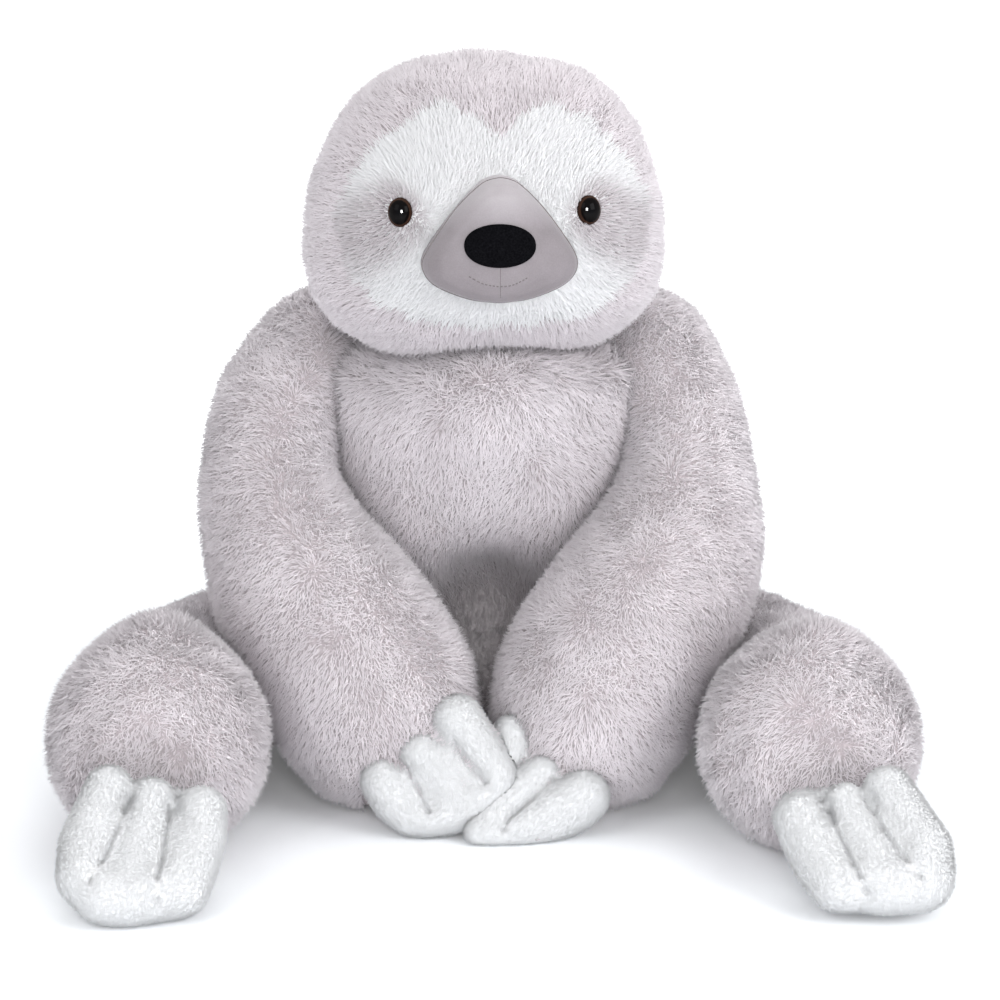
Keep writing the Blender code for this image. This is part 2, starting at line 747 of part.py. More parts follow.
def washer_shape():
    """The lock washer, a flat ring round the shank."""
    hole = SHANK_RADIUS + WASHER_HOLE_PLAY
    seat = -WASHER_SINK
    profile = [
        (hole, seat - WASHER_THICK / 2),
        (WASHER_RADIUS, seat - WASHER_THICK / 2),
        (WASHER_RADIUS, seat + WASHER_THICK / 2),
        (hole, seat + WASHER_THICK / 2),
    ]
    shape = bmesh.new()
    rows = []
    for radius, out in profile:
        turns = [math.tau * k / EYE_SIDES for k in range(EYE_SIDES)]
        rows.append([shape.verts.new((radius * math.cos(a), radius * math.sin(a), out)) for a in turns])
    for k, row in enumerate(rows):
        after = rows[(k + 1) % len(rows)]
        for n in range(EYE_SIDES):
            follow = (n + 1) % EYE_SIDES
            shape.faces.new((row[n], row[follow], after[follow], after[n]))
    bmesh.ops.recalc_face_normals(shape, faces=shape.faces)
    return shape


def make_head(cloth, fibre, white, grey, velvet, black, gloss, plastic):
    """The head on its neck: cover, face, patches, muzzle, nose, eyes and fibre."""
    neck_place = Vector((0.0, -NECK_FORWARD, NECK_LIFT))
    neck = add_empty("neck_turn", neck_place, HEAD_YAW)
    shift = Vector((0.0, NECK_FORWARD - HEAD_FORWARD, -NECK_LIFT))
    add_object("neck", ball(NECK_RADIUS, segments=BALL_SEGMENTS // 2), cloth, neck)
    hollow = cutter("neck_hollow_head", ball(NECK_RADIUS + BALL_PLAY), neck)
    form = head_form()
    cover = add_object("head_cover", shell_of(form), cloth, neck)
    panel = add_object("face_panel", shell_of(form), white, neck)
    filling = add_object("head_stuffing", stuffing_of(form), fibre, neck)
    for target in (cover, filling):
        boolean(target, hollow)
    outline = mirrored_outline(FACE_OUTLINE_SHARES, FACE_HALF_WIDTH, FACE_BASE, FACE_HEIGHT, FACE_PANEL_STEPS)
    middle = Vector((0.0, 0.0, FACE_BASE + FACE_HEIGHT / 2))
    window = outline_prism(outline, middle, FACE_REACH, -GAP / 2)
    inset = outline_prism(outline, middle, FACE_REACH, GAP / 2)
    for shape in (window, inset):
        bmesh.ops.translate(shape, verts=shape.verts, vec=shift)
    boolean(cover, cutter("face_window", window, neck))
    boolean(panel, cutter("face_inset", inset, neck), "INTERSECT")
    for side in SIDES:
        centre = Vector((SIDES[side] * PATCH_OUT, 0.0, PATCH_LIFT))
        oval = []
        for k in range(PATCH_SIDES):
            angle = math.tau * k / PATCH_SIDES
            offset = Vector((PATCH_HALF_WIDTH * math.cos(angle), 0.0, PATCH_HALF_HEIGHT * math.sin(angle)))
            oval.append(centre + offset)
        shapes = [outline_prism(oval, centre, FACE_REACH, shrink) for shrink in (-GAP / 2, GAP / 2)]
        for shape in shapes:
            bmesh.ops.translate(shape, verts=shape.verts, vec=shift)
        boolean(panel, cutter(f"patch_window_{side}", shapes[0], neck))
        patch = add_object(f"eye_patch_{side}", shell_of(form), grey, neck)
        boolean(patch, cutter(f"patch_inset_{side}", shapes[1], neck), "INTERSECT")
        matrix = eye_matrix(side)
        eye = eye_shape()
        bmesh.ops.transform(eye, matrix=matrix, verts=eye.verts)
        washer = washer_shape()
        bmesh.ops.transform(washer, matrix=matrix, verts=washer.verts)
        eye_room = cutter(f"eye_room_{side}", grown(eye, GAP), neck)
        washer_room = washer_pocket(matrix)
        add_object(f"eye_{side}", eye, gloss, neck)
        add_object(f"eye_washer_{side}", washer, plastic, neck)
        boolean(patch, eye_room)
        boolean(panel, eye_room)
        boolean(filling, cutter(f"washer_room_{side}", washer_room, neck))
    head_skin = cutter("head_skin", grown(form, GAP), neck)
    form.free()
    make_muzzle(velvet, black, neck, head_skin)


def washer_pocket(matrix):
    """The room that the shank and its washer take in the fibre."""
    seat = WASHER_SINK
    radius = WASHER_RADIUS + GAP
    turns = [math.tau * k / EYE_SIDES for k in range(EYE_SIDES)]
    levels = (0.0, -seat - WASHER_THICK, -seat - WASHER_THICK - GAP, -SHANK_LENGTH - GAP)
    radii = (radius, radius, SHANK_RADIUS + GAP, SHANK_RADIUS + GAP)
    rings = []
    for level, size in zip(levels, radii):
        rings.append([Vector((size * math.cos(a), size * math.sin(a), level)) for a in turns])
    shape = rings_shape(rings)
    bmesh.ops.transform(shape, matrix=matrix, verts=shape.verts)
    return shape


def make_muzzle(velvet, black, neck, head_skin):
    """The padded muzzle, sewn on the face, and the nose on its front."""
    outline = mirrored_outline(
        MUZZLE_OUTLINE_SHARES, MUZZLE_HALF_WIDTH, MUZZLE_BASE, MUZZLE_HEIGHT, MUZZLE_OUTLINE_STEPS
    )
    centre = Vector((0.0, 0.0, MUZZLE_BASE + MUZZLE_HEIGHT * MUZZLE_CENTRE_SHARE))
    face = head_surface(0.0, centre.z)
    rings = []
    for ahead, wide in MUZZLE_CROWN_SHARES:
        level = Vector((0.0, face - MUZZLE_PROUD * ahead, -NECK_LIFT))
        rings.append([centre + (point - centre) * wide + level for point in outline])
    muzzle_shape = rings_shape(rings)
    muzzle_room = grown(muzzle_shape, GAP)
    muzzle = add_object("muzzle", muzzle_shape, velvet, neck)
    boolean(muzzle, head_skin)
    front = face - MUZZLE_PROUD
    rings = []
    for k in range(NOSE_ROWS):
        angle = NOSE_TIP_TURN * k / (NOSE_ROWS - 1)
        ahead = front + NOSE_SINK - (NOSE_PROUD + NOSE_SINK) * math.sin(angle)
        half_width = NOSE_HALF_WIDTH * math.cos(angle)
        half_height = NOSE_HALF_HEIGHT * math.cos(angle)
        turns = [math.tau * n / NOSE_SIDES for n in range(NOSE_SIDES)]
        middle = Vector((0.0, ahead, NOSE_LIFT - NECK_LIFT))
        ring = [Vector((half_width * math.cos(a), 0.0, half_height * math.sin(a))) for a in turns]
        rings.append([middle + offset for offset in ring])
    nose = add_object("nose", rings_shape(rings), black, neck)
    boolean(nose, cutter("muzzle_room", muzzle_room, neck))


def main():
    """Builds the toy."""
    clear_scene()
    grey_fur = material("grey_fur", (0.66, 0.62, 0.65), 0.95)
    white_fur = material("white_fur", (0.88, 0.89, 0.91), 0.95)
    patch_fur = material("patch_fur", (0.58, 0.53, 0.56), 0.95)
    muzzle_velvet = material("muzzle_velvet", (0.47, 0.42, 0.44), 0.9)
    nose_velvet = material("nose_velvet", (0.012, 0.012, 0.013), 0.85)
    eye_gloss = material("eye_gloss", (0.015, 0.009, 0.007), 0.08)
    washer_plastic = material("washer_plastic", (0.75, 0.75, 0.73), 0.5)
    fibre = material("fibre", (0.85, 0.85, 0.84), 0.98)
    pellets = material("pellet_bag", (0.62, 0.62, 0.60), 0.9)
    floor = floor_cutter()
    make_body(grey_fur, fibre, pellets)
    for side in SIDES:
        make_leg(side, grey_fur, fibre, white_fur, floor)
        make_arm(side, grey_fur, fibre, white_fur, floor)
    make_head(
        grey_fur, fibre, white_fur, patch_fur, muzzle_velvet, nose_velvet, eye_gloss, washer_plastic
    )


main()
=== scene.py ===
# %% [markdown]
# # A plush sloth with long pile
#
# The toy is a sewn and stuffed sloth that sits on a flat seat, with its arms hanging in front and its legs round them.
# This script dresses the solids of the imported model. Each padded form gets a soft skin, and each skin gets a pile of
# thousands of small tufts. All pieces share one frame: the toy faces -Y, its own left is +X, and the seat is at zero.

import math

import bmesh
import bpy
import numpy as np
from mathutils import Matrix, Vector
from mathutils.bvhtree import BVHTree


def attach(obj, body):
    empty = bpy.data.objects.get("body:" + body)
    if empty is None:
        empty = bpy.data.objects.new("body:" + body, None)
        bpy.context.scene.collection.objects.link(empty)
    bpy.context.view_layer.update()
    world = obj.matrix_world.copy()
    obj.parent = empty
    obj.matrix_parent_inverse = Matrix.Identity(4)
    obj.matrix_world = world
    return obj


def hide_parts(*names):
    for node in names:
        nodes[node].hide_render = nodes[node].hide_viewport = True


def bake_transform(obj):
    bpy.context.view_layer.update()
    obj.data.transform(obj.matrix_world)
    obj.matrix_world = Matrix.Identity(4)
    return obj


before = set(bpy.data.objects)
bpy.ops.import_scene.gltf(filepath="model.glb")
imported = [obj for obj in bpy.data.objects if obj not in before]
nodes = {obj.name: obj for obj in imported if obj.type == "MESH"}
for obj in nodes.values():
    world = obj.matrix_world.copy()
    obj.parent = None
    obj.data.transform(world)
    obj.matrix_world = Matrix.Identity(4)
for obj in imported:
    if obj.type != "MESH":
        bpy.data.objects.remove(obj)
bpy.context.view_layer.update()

# %% [markdown]
# ## Camera
#
# The picture is taken from a little above the face with a long lens, so that the feet don't swell. The camera stands
# 2.6 m from a point near the chest and looks down by 13 degrees. A long lens keeps the limbs in their true proportions.

# %% Camera
AIM = Vector((0.012, -0.19, 0.252))
DISTANCE = 2.6
LOOK_DOWN = math.radians(13.0)
LENS = 122.4
SENSOR = 36.0
PICTURE = 1000
MIDDLE = PICTURE // 2
FOCAL = PICTURE * LENS / SENSOR
look = Vector((0.0, math.cos(LOOK_DOWN), -math.sin(LOOK_DOWN)))
camera_turn = look.to_track_quat("-Z", "Y").to_matrix()
camera = bpy.data.objects.new("camera", bpy.data.cameras.new("camera"))
bpy.context.scene.collection.objects.link(camera)
camera.location = AIM - look * DISTANCE
camera.rotation_euler = look.to_track_quat("-Z", "Y").to_euler()
camera.data.lens = LENS
camera.data.sensor_width = SENSOR
bpy.context.scene.camera = camera
bpy.context.scene.view_settings.view_transform = "Standard"
print("camera at", [round(v, 3) for v in camera.location])


def ray_through(across, down):
    """The way from the camera through a place of the picture, for each unit of depth."""
    return camera_turn @ Vector(((across - MIDDLE) / FOCAL, (MIDDLE - down) / FOCAL, -1.0))


def seen_at(tree, across, down):
    """The place on a surface that the picture shows at this many pixels across and down."""
    return tree.ray_cast(camera.location, ray_through(across, down).normalized())[0]


def tree_of(piece):
    """The search tree of a piece's surface."""
    return BVHTree.FromObject(piece, bpy.context.evaluated_depsgraph_get())


# %% [markdown]
# ## Writing a finish as sums
#
# A finish is a net of shader nodes. Written node by node it is long and hard to read, so one small class wraps a
# socket and lets plain sums make the nodes. Everything that isn't a sum comes from one method, `node`.


# %% Sums of sockets
class Wire:
    """The output of a shader node, which sums can be written with."""

    def __init__(self, finish, socket):
        self.finish = finish
        self.socket = socket

    def maths(self, operation, *values):
        return self.finish.node("ShaderNodeMath", {"operation": operation}, dict(enumerate(values)))

    def __add__(self, other):
        return self.maths("ADD", self, other)

    def __sub__(self, other):
        return self.maths("SUBTRACT", self, other)

    def __mul__(self, other):
        return self.maths("MULTIPLY", self, other)


class Finish:
    """One material, built round a Principled shader."""

    def __init__(self, name, **uniform):
        self.material = bpy.data.materials.new(name)
        self.material.use_nodes = True
        self.tree = self.material.node_tree
        self.shader = self.tree.nodes["Principled BSDF"]
        for socket, value in uniform.items():
            self.shader.inputs[socket.replace("_", " ")].default_value = value

    def node(self, kind, settings, values, out=0):
        made = self.tree.nodes.new(kind)
        for key, value in settings.items():
            if key == "stops":
                self.colour_stops(made.color_ramp, value)
            else:
                setattr(made, key, value)
        for key, value in values.items():
            if isinstance(value, Wire):
                self.tree.links.new(value.socket, made.inputs[key])
            else:
                made.inputs[key].default_value = value
        return Wire(self, made.outputs[out])

    def colour_stops(self, ramp, stops):
        while len(ramp.elements) < len(stops):
            ramp.elements.new(0.5)
        for element, (place, colour) in zip(ramp.elements, stops):
            element.position = place
            element.color = (*colour, 1.0)

    def ramp(self, value, stops):
        return self.node("ShaderNodeValToRGB", {"stops": stops}, {"Fac": value})

    def mix(self, share, first, second):
        settings = {"data_type": "RGBA"}
        return self.node("ShaderNodeMix", settings, {0: share, 6: first, 7: second}, 2)

    def place(self):
        return self.node("ShaderNodeTexCoord", {}, {}, "Object")

    def noise(self, scale, detail=2.0, roughness=0.5):
        values = {"Vector": self.place(), "Scale": scale, "Detail": detail, "Roughness": roughness}
        return self.node("ShaderNodeTexNoise", {}, values, "Fac")

    def speckle(self, grain, dark, light, last=0.7):
        return self.ramp(grain, [(0.3, dark), (last, light)])

    def attribute(self, name):
        return self.node("ShaderNodeAttribute", {"attribute_name": name}, {}, "Fac")

    def colour(self, wire):
        self.tree.links.new(wire.socket, self.shader.inputs["Base Color"])

    def bump(self, height, strength, distance):
        values = {"Height": height, "Strength": strength, "Distance": distance}
        wire = self.node("ShaderNodeBump", {}, values)
        self.tree.links.new(wire.socket, self.shader.inputs["Normal"])


# %% [markdown]
# ## Floor, background and lamps
#
# The toy is photographed on white, with a soft grey shadow under the limbs. The floor and the world show white to the
# camera and to glossy rays, while the light that falls on the toy stays at a plain level. The floor is an ordinary
# pale surface that also glows for the camera, a little near the toy and fully further off, so that it reads white and
# still keeps the shadow. The small eye light is seen in gloss alone: it puts a spark in each eye and lights no cloth.


# %% Background and floor
def seen_directly(finish_or_tree):
    """One for rays that come from the camera or pass over gloss, and zero for light that falls on things."""
    path = finish_or_tree.node("ShaderNodeLightPath", {}, {}, "Is Camera Ray")
    gloss = Wire(finish_or_tree, path.socket.node.outputs["Is Glossy Ray"])
    glass = Wire(finish_or_tree, path.socket.node.outputs["Is Transmission Ray"])
    return path.maths("MAXIMUM", path.maths("MAXIMUM", path, gloss), glass)


class Sky(Finish):
    """The world's net of nodes."""

    def __init__(self, world):
        world.use_nodes = True
        self.tree = world.node_tree
        self.shader = self.tree.nodes["Background"]


WORLD_STRENGTH = 0.68
FLOOR_SIDE = 30.0
FLOOR_GLOW = 0.09
GLOW_NEAR = 0.50
GLOW_FAR = 1.10
WHITE = (1.0, 1.0, 1.0, 1.0)
BLACK = (0.0, 0.0, 0.0, 1.0)
PAPER = (0.90, 0.925, 0.955, 1.0)
world = bpy.data.worlds.new("studio")
bpy.context.scene.world = world
sky = Sky(world)
sky.shader.inputs["Color"].default_value = WHITE
level = seen_directly(sky) * (1.0 - WORLD_STRENGTH) + WORLD_STRENGTH
sky.tree.links.new(level.socket, sky.shader.inputs["Strength"])

floor_finish = Finish("floor_paper", Roughness=0.9, Base_Color=PAPER, Emission_Strength=1.0)
spot = floor_finish.place()
away = floor_finish.node("ShaderNodeVectorMath", {"operation": "LENGTH"}, {0: spot}, "Value")
far_share = (away - GLOW_NEAR) * (1.0 / (GLOW_FAR - GLOW_NEAR))
far_share = far_share.maths("MINIMUM", far_share.maths("MAXIMUM", far_share, 0.0), 1.0)
glow = seen_directly(floor_finish) * (far_share * (1.0 - FLOOR_GLOW) + FLOOR_GLOW)
shown = floor_finish.mix(glow, BLACK, WHITE)
floor_finish.tree.links.new(shown.socket, floor_finish.shader.inputs["Emission Color"])

bpy.ops.object.select_all(action="DESELECT")
bpy.ops.mesh.primitive_plane_add(size=FLOOR_SIDE, location=(0.0, 0.0, 0.0))
floor = bpy.context.object
floor.name = "floor"
floor.data.materials.append(floor_finish.material)

# %% Lamps
# Each lamp's place, its width in metres and its watts. They all point at the toy.
LAMPS = {
    "left": ((-1.5, -2.1, 1.9), 1.5, 15.0),
    "right": ((1.9, -2.0, 1.5), 1.5, 38.0),
    "front": ((0.0, -3.2, 0.7), 1.5, 10.0),
    "top": ((0.1, 0.5, 2.2), 1.6, 14.0),
    "side_left": ((-2.6, -0.6, 0.8), 1.5, 6.0),
    "side_right": ((2.6, -0.6, 0.8), 1.5, 2.0),
    "eye_light": ((0.10, -2.2, 0.85), 0.50, 420.0),
}
for name, (place, size, watts) in LAMPS.items():
    lamp = bpy.data.objects.new(name, bpy.data.lights.new(name, "AREA"))
    bpy.context.scene.collection.objects.link(lamp)
    lamp.location = place
    lamp.rotation_euler = (AIM - Vector(place)).to_track_quat("-Z", "Y").to_euler()
    lamp.data.size = size
    lamp.data.energy = watts
    lamp.visible_diffuse = name != "eye_light"
print("lamps", list(LAMPS))

# %% [markdown]
# ## Colours of the cloth and the pile
#
# The grey pile is a pale grey lilac at its tips and a darker pinkish brown at its roots, where it parts. The white
# pile is almost white. A tuft is coloured from root to tip by a ramp, and each tuft has its own tone, so that the
# whole coat isn't one flat colour. The tuft's place on the ramp comes from the pile's own map: across is root to tip,
# up is the tone.


# %% Finishes of pile and cloth
def pile_finish(name, low_stops, high_stops):
    """Pile whose colour runs from root to tip, and between two looks with the tuft's tone."""
    finish = Finish(name, Roughness=0.85, Sheen_Weight=0.25, Sheen_Roughness=0.5, Specular_IOR_Level=0.15)
    place = finish.node("ShaderNodeUVMap", {"uv_map": "Tuft"}, {})
    along = finish.node("ShaderNodeSeparateXYZ", {}, {"Vector": place}, "X")
    tone = Wire(finish, along.socket.node.outputs["Y"])
    finish.colour(finish.mix(tone, finish.ramp(along, low_stops), finish.ramp(along, high_stops)))
    return finish.material


FACE_WHITE = (0.84, 0.845, 0.86)
GREY_ROOT = (0.44, 0.382, 0.402)
GREY_MIDDLE = (0.52, 0.465, 0.492)
GREY_TIP = (0.70, 0.648, 0.682)
PALE_MIDDLE = (0.85, 0.79, 0.83)
PALE_TIP = (0.965, 0.915, 0.955)
grey_pile = pile_finish(
    "grey_pile",
    [(0.0, GREY_ROOT), (0.35, GREY_MIDDLE), (0.85, GREY_TIP)],
    [(0.0, GREY_ROOT), (0.30, PALE_MIDDLE), (0.85, PALE_TIP)],
)
face_pile = pile_finish(
    "face_pile",
    [(0.0, FACE_WHITE), (0.4, (0.89, 0.895, 0.91)), (0.9, (0.93, 0.935, 0.95))],
    [(0.0, (0.20, 0.165, 0.178)), (0.35, (0.48, 0.435, 0.46)), (0.95, (0.69, 0.645, 0.675))],
)
# The white pile's second look, a darker beige, is used only along the mitts' channels, as painted shade in the creases.
white_pile = pile_finish(
    "white_pile",
    [(0.0, (0.66, 0.67, 0.69)), (0.4, (0.72, 0.73, 0.745)), (0.9, (0.76, 0.77, 0.785))],
    [(0.0, (0.52, 0.505, 0.47)), (0.4, (0.58, 0.565, 0.53)), (0.9, (0.64, 0.625, 0.59))],
)


def cloth_finish(name, dark, light, scale=260.0):
    """Knitted backing between the tufts. It is white where the skin's attribute "mask" says so."""
    finish = Finish(name, Roughness=0.95, Sheen_Weight=0.2)
    speckle = finish.noise(scale, 3.0)
    own = finish.mix(speckle, (*dark, 1.0), (*light, 1.0))
    finish.colour(finish.mix(finish.attribute("mask"), own, (*FACE_WHITE, 1.0)))
    finish.bump(speckle, 0.4, 0.002)
    return finish.material


grey_cloth = cloth_finish("grey_cloth", (0.32, 0.272, 0.29), (0.52, 0.46, 0.487))
white_cloth = cloth_finish("white_cloth", (0.66, 0.67, 0.685), (0.74, 0.75, 0.765))
print("finishes", [m.name for m in bpy.data.materials if "pile" in m.name or "cloth" in m.name])

# %% [markdown]
# ## Soft skins
#
# A stuffed limb is one padded bag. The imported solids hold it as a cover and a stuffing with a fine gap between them,
# so a skin is made from copies of both: they are put in one mesh, wrapped anew with small even faces, and smoothed.
# What is left inside the wrap is dropped. The result is one closed, rounded bag on the CAD's own place.


# %% Helpers for skins
def only(obj):
    """Makes obj the one selected and active object."""
    bpy.ops.object.select_all(action="DESELECT")
    obj.select_set(True)
    bpy.context.view_layer.objects.active = obj


def apply(obj, kind, **settings):
    """Adds a modifier with these settings and applies it."""
    only(obj)
    modifier = obj.modifiers.new(kind, kind)
    for key, value in settings.items():
        setattr(modifier, key, value)
    bpy.ops.object.modifier_apply(modifier=modifier.name)


def new_piece(name, shape, material):
    """A mesh object from a bmesh, smooth all over."""
    mesh = bpy.data.meshes.new(name)
    shape.to_mesh(mesh)
    shape.free()
    piece = bpy.data.objects.new(name, mesh)
    bpy.context.scene.collection.objects.link(piece)
    mesh.materials.append(material)
    mesh.shade_smooth()
    return piece


def drop_inside(piece):
    """Keeps only the largest closed surface of a piece."""
    shape = bmesh.new()
    shape.from_mesh(piece.data)
    left = set(shape.verts)
    groups = []
    while left:
        group = {left.pop()}
        edge = list(group)
        while edge:
            vert = edge.pop()
            for link in vert.link_edges:
                other = link.other_vert(vert)
                if other in left:
                    left.discard(other)
                    group.add(other)
                    edge.append(other)
        groups.append(group)

    def spread(group):
        heights = [v.co.z for v in group]
        widths = [v.co.x for v in group]
        return max(heights) - min(heights) + max(widths) - min(widths)

    largest = max(groups, key=spread)
    bmesh.ops.delete(shape, geom=[v for v in shape.verts if v not in largest], context="VERTS")
    shape.to_mesh(piece.data)
    shape.free()


def wrap(piece, voxel, smooth):
    """Wraps a piece anew with small even faces, drops what lies inside the wrap and smooths it."""
    apply(piece, "REMESH", mode="VOXEL", voxel_size=voxel, adaptivity=0.0)
    drop_inside(piece)
    apply(piece, "SMOOTH", factor=0.5, iterations=smooth)


def soft_skin(name, sources, material, voxel, smooth, core=None, inset=0.008):
    """One closed bag round copies of these nodes, with a smaller copy of one more that is sewn into it."""
    shape = bmesh.new()
    for source in sources:
        shape.from_mesh(nodes[source].data)
    if core:
        inner = bmesh.new()
        inner.from_mesh(nodes[core].data)
        bmesh.ops.remove_doubles(inner, verts=inner.verts, dist=1e-5)
        inner.normal_update()
        for vert in inner.verts:
            vert.co -= vert.normal * inset
        spare = bpy.data.meshes.new("core")
        inner.to_mesh(spare)
        inner.free()
        shape.from_mesh(spare)
    piece = new_piece(name, shape, material)
    wrap(piece, voxel, smooth)
    piece.data.shade_smooth()
    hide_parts(*sources)
    print(name, len(piece.data.polygons), "faces")
    return piece


def surface(piece):
    """The points, normals and triangle corners of a skin."""
    mesh = piece.data
    mesh.calc_loop_triangles()
    points = np.zeros(len(mesh.vertices) * 3)
    mesh.vertices.foreach_get("co", points)
    normals = np.zeros(len(mesh.vertices) * 3)
    mesh.vertices.foreach_get("normal", normals)
    corners = np.zeros(len(mesh.loop_triangles) * 3, np.int32)
    mesh.loop_triangles.foreach_get("vertices", corners)
    return points.reshape(-1, 3), normals.reshape(-1, 3), corners.reshape(-1, 3)


def move_points(piece, points, lowest):
    """Gives the points of a skin new places, none of them below this height."""
    points[:, 2] = np.maximum(points[:, 2], lowest)
    piece.data.vertices.foreach_set("co", points.ravel())
    piece.data.update()


def bell(far, reach):
    """One where the distance is zero, and softly down to nothing past this reach."""
    return np.exp(-((far / reach) ** 2))


def swell(piece, centre, reach, amount):
    """Stuffs a skin fuller, or slacker with less than nothing, round one place."""
    points, normals, _ = surface(piece)
    push = amount * bell(np.linalg.norm(points - np.array(centre), axis=1), reach)
    move_points(piece, points + normals * push[:, None], SKIN_LOWEST)


# %% Skins of the body and limbs
VOXEL = 0.005
SKIN_LOWEST = 0.0004
body_skin = soft_skin("body_skin", ["body_cover", "body_stuffing", "seat_pellet_bag"], grey_cloth, VOXEL, 6)
HEAD_NODES = ["head_cover", "head_stuffing", "face_panel", "eye_patch_left", "eye_patch_right"]
head_skin = soft_skin("head_skin", HEAD_NODES, grey_cloth, 0.004, 8)
neck_skin = soft_skin("neck_skin", ["neck"], grey_cloth, VOXEL, 2)
skins = {"body": body_skin, "head": head_skin, "neck": neck_skin}
for side in ("left", "right"):
    skins[f"arm_{side}"] = soft_skin(
        f"arm_skin_{side}", [f"arm_cover_{side}", f"arm_stuffing_{side}"], grey_cloth, VOXEL, 8, f"hand_{side}"
    )
    skins[f"leg_{side}"] = soft_skin(
        f"leg_skin_{side}", [f"leg_cover_{side}", f"leg_stuffing_{side}"], grey_cloth, VOXEL, 6
    )

# %% Fuller and slacker places
# Each place is across, ahead and up, or across and down in the picture; then the reach and the amount.
SWELLS = [
    ("arm_right", (-0.150, -0.010, 0.375), 0.045, 0.003),
    ("arm_right", (-0.205, -0.020, 0.320), 0.070, 0.005),
    ("arm_left", (0.150, -0.010, 0.375), 0.045, 0.003),
    ("arm_left", (0.205, -0.120, 0.195), 0.050, 0.009),
    ("body", (0.0, -0.110, 0.335), 0.060, 0.027),
    ("body", (488, 610), 0.055, -0.040),
    ("body", (488, 650), 0.060, -0.050),
    ("body", (362, 372), 0.028, 0.010),
    ("body", (612, 372), 0.028, 0.010),
    ("arm_right", (328, 352), 0.030, 0.007),
    ("arm_left", (646, 352), 0.030, 0.007),
    ("head", (0.010, -0.120, 0.350), 0.060, -0.013),
    ("head", (628, 152), 0.060, 0.005),
    ("head", (580, 92), 0.040, 0.007),
    ("head", (500, 56), 0.050, -0.004),
    ("head", (368, 118), 0.045, 0.006),
    ("leg_right", (160, 634), 0.035, 0.013),
    ("leg_left", (826, 640), 0.035, 0.010),
    ("leg_left", (868, 668), 0.040, -0.007),
]
for part, centre, reach, amount in SWELLS:
    if len(centre) == 2:
        centre = seen_at(tree_of(skins[part]), *centre)
    swell(skins[part], centre, reach, amount)
print("fuller places", len(SWELLS))

# %% [markdown]
# ## Pile
#
# Real pile is thousands of fibres that stick together in small tufts. A tuft here is one slim spike with three sides.
# Its foot stands in the cloth and its tip leans the way the coat is combed. Spikes are scattered evenly over a skin,
# and their shading normals are taken mostly from the cloth, so that light falls over the coat as over one soft surface
# while the dark roots still show between the tips. Spikes with three faces keep hundreds of thousands of tufts light.


# %% Helpers for pile
TRIES_EACH = 4
CELL_SHARE = 1.2
FAR_OFF = 9.0
TUFT_ROOT = 0.0012
TUFT_LOWEST = 0.0006


def unit(vectors):
    """Vectors of length one."""
    return vectors / np.maximum(np.linalg.norm(vectors, axis=1, keepdims=True), 1e-9)


def scatter(piece, spacing, rng):
    """Evenly spread places on a skin, with the skin's normals there."""
    points, normals, corners = surface(piece)
    a, b, c = (points[corners[:, k]] for k in range(3))
    areas = np.linalg.norm(np.cross(b - a, c - a), axis=1) / 2
    count = int(areas.sum() / spacing**2 * TRIES_EACH)
    chosen = rng.choice(len(areas), count, p=areas / areas.sum())
    u, v = rng.random(count), rng.random(count)
    flip = u + v > 1
    u[flip], v[flip] = 1 - u[flip], 1 - v[flip]
    shares = np.stack([1 - u - v, u, v], axis=1)
    places = sum(shares[:, k, None] * points[corners[chosen, k]] for k in range(3))
    ups = sum(shares[:, k, None] * normals[corners[chosen, k]] for k in range(3))
    cells = np.floor(places / (spacing * CELL_SHARE)).astype(np.int64)
    _, first = np.unique(cells, axis=0, return_index=True)
    first.sort()
    return places[first], unit(ups[first])


def drift(points, scale, seed):
    """A soft random field of vectors, the same at every run."""
    rng = np.random.default_rng(seed)
    field = np.zeros_like(points)
    for k in range(5):
        turn = rng.normal(size=(3, 3)) * scale * (0.7 + 0.35 * k)
        field += np.sin(points @ turn + rng.random(3) * math.tau)
    return field / 2.2


def clumps(points, size, seed):
    """From each place towards the middle of its clump, and a tone that the clump's tufts share."""
    cells = np.floor(points / size).astype(np.int64)
    nearest = np.full(len(points), FAR_OFF)
    pull = np.zeros_like(points)
    tone = np.zeros(len(points))
    for shift in np.ndindex(3, 3, 3):
        # Large primes mix the numbers of a cell into the chance place of its clump.
        cell = cells + np.array(shift) - 1
        mixed = (cell[:, 0] * 73856093) ^ (cell[:, 1] * 19349663) ^ (cell[:, 2] * 83492791) ^ (seed * 7919)
        mixed = (mixed * 2654435761) & 0xFFFFFFFF
        chance = np.stack([(mixed >> bits) % 256 for bits in (0, 8, 16)], axis=1) / 256.0
        away = (cell + chance) * size - points
        far = np.linalg.norm(away, axis=1)
        closer = far < nearest
        nearest[closer], pull[closer] = far[closer], away[closer]
        tone[closer] = (mixed[closer] >> 24) / 256.0
    return pull, tone


def from_lines(points, lines):
    """The way and the distance from the nearest of these places, for the partings and whorls of a coat."""
    nearest = np.full(len(points), FAR_OFF)
    away = np.zeros_like(points)
    for place in lines:
        step = points - np.array(place)
        far = np.linalg.norm(step, axis=1)
        closer = far < nearest
        nearest[closer], away[closer] = far[closer], step[closer]
    return unit(away), nearest


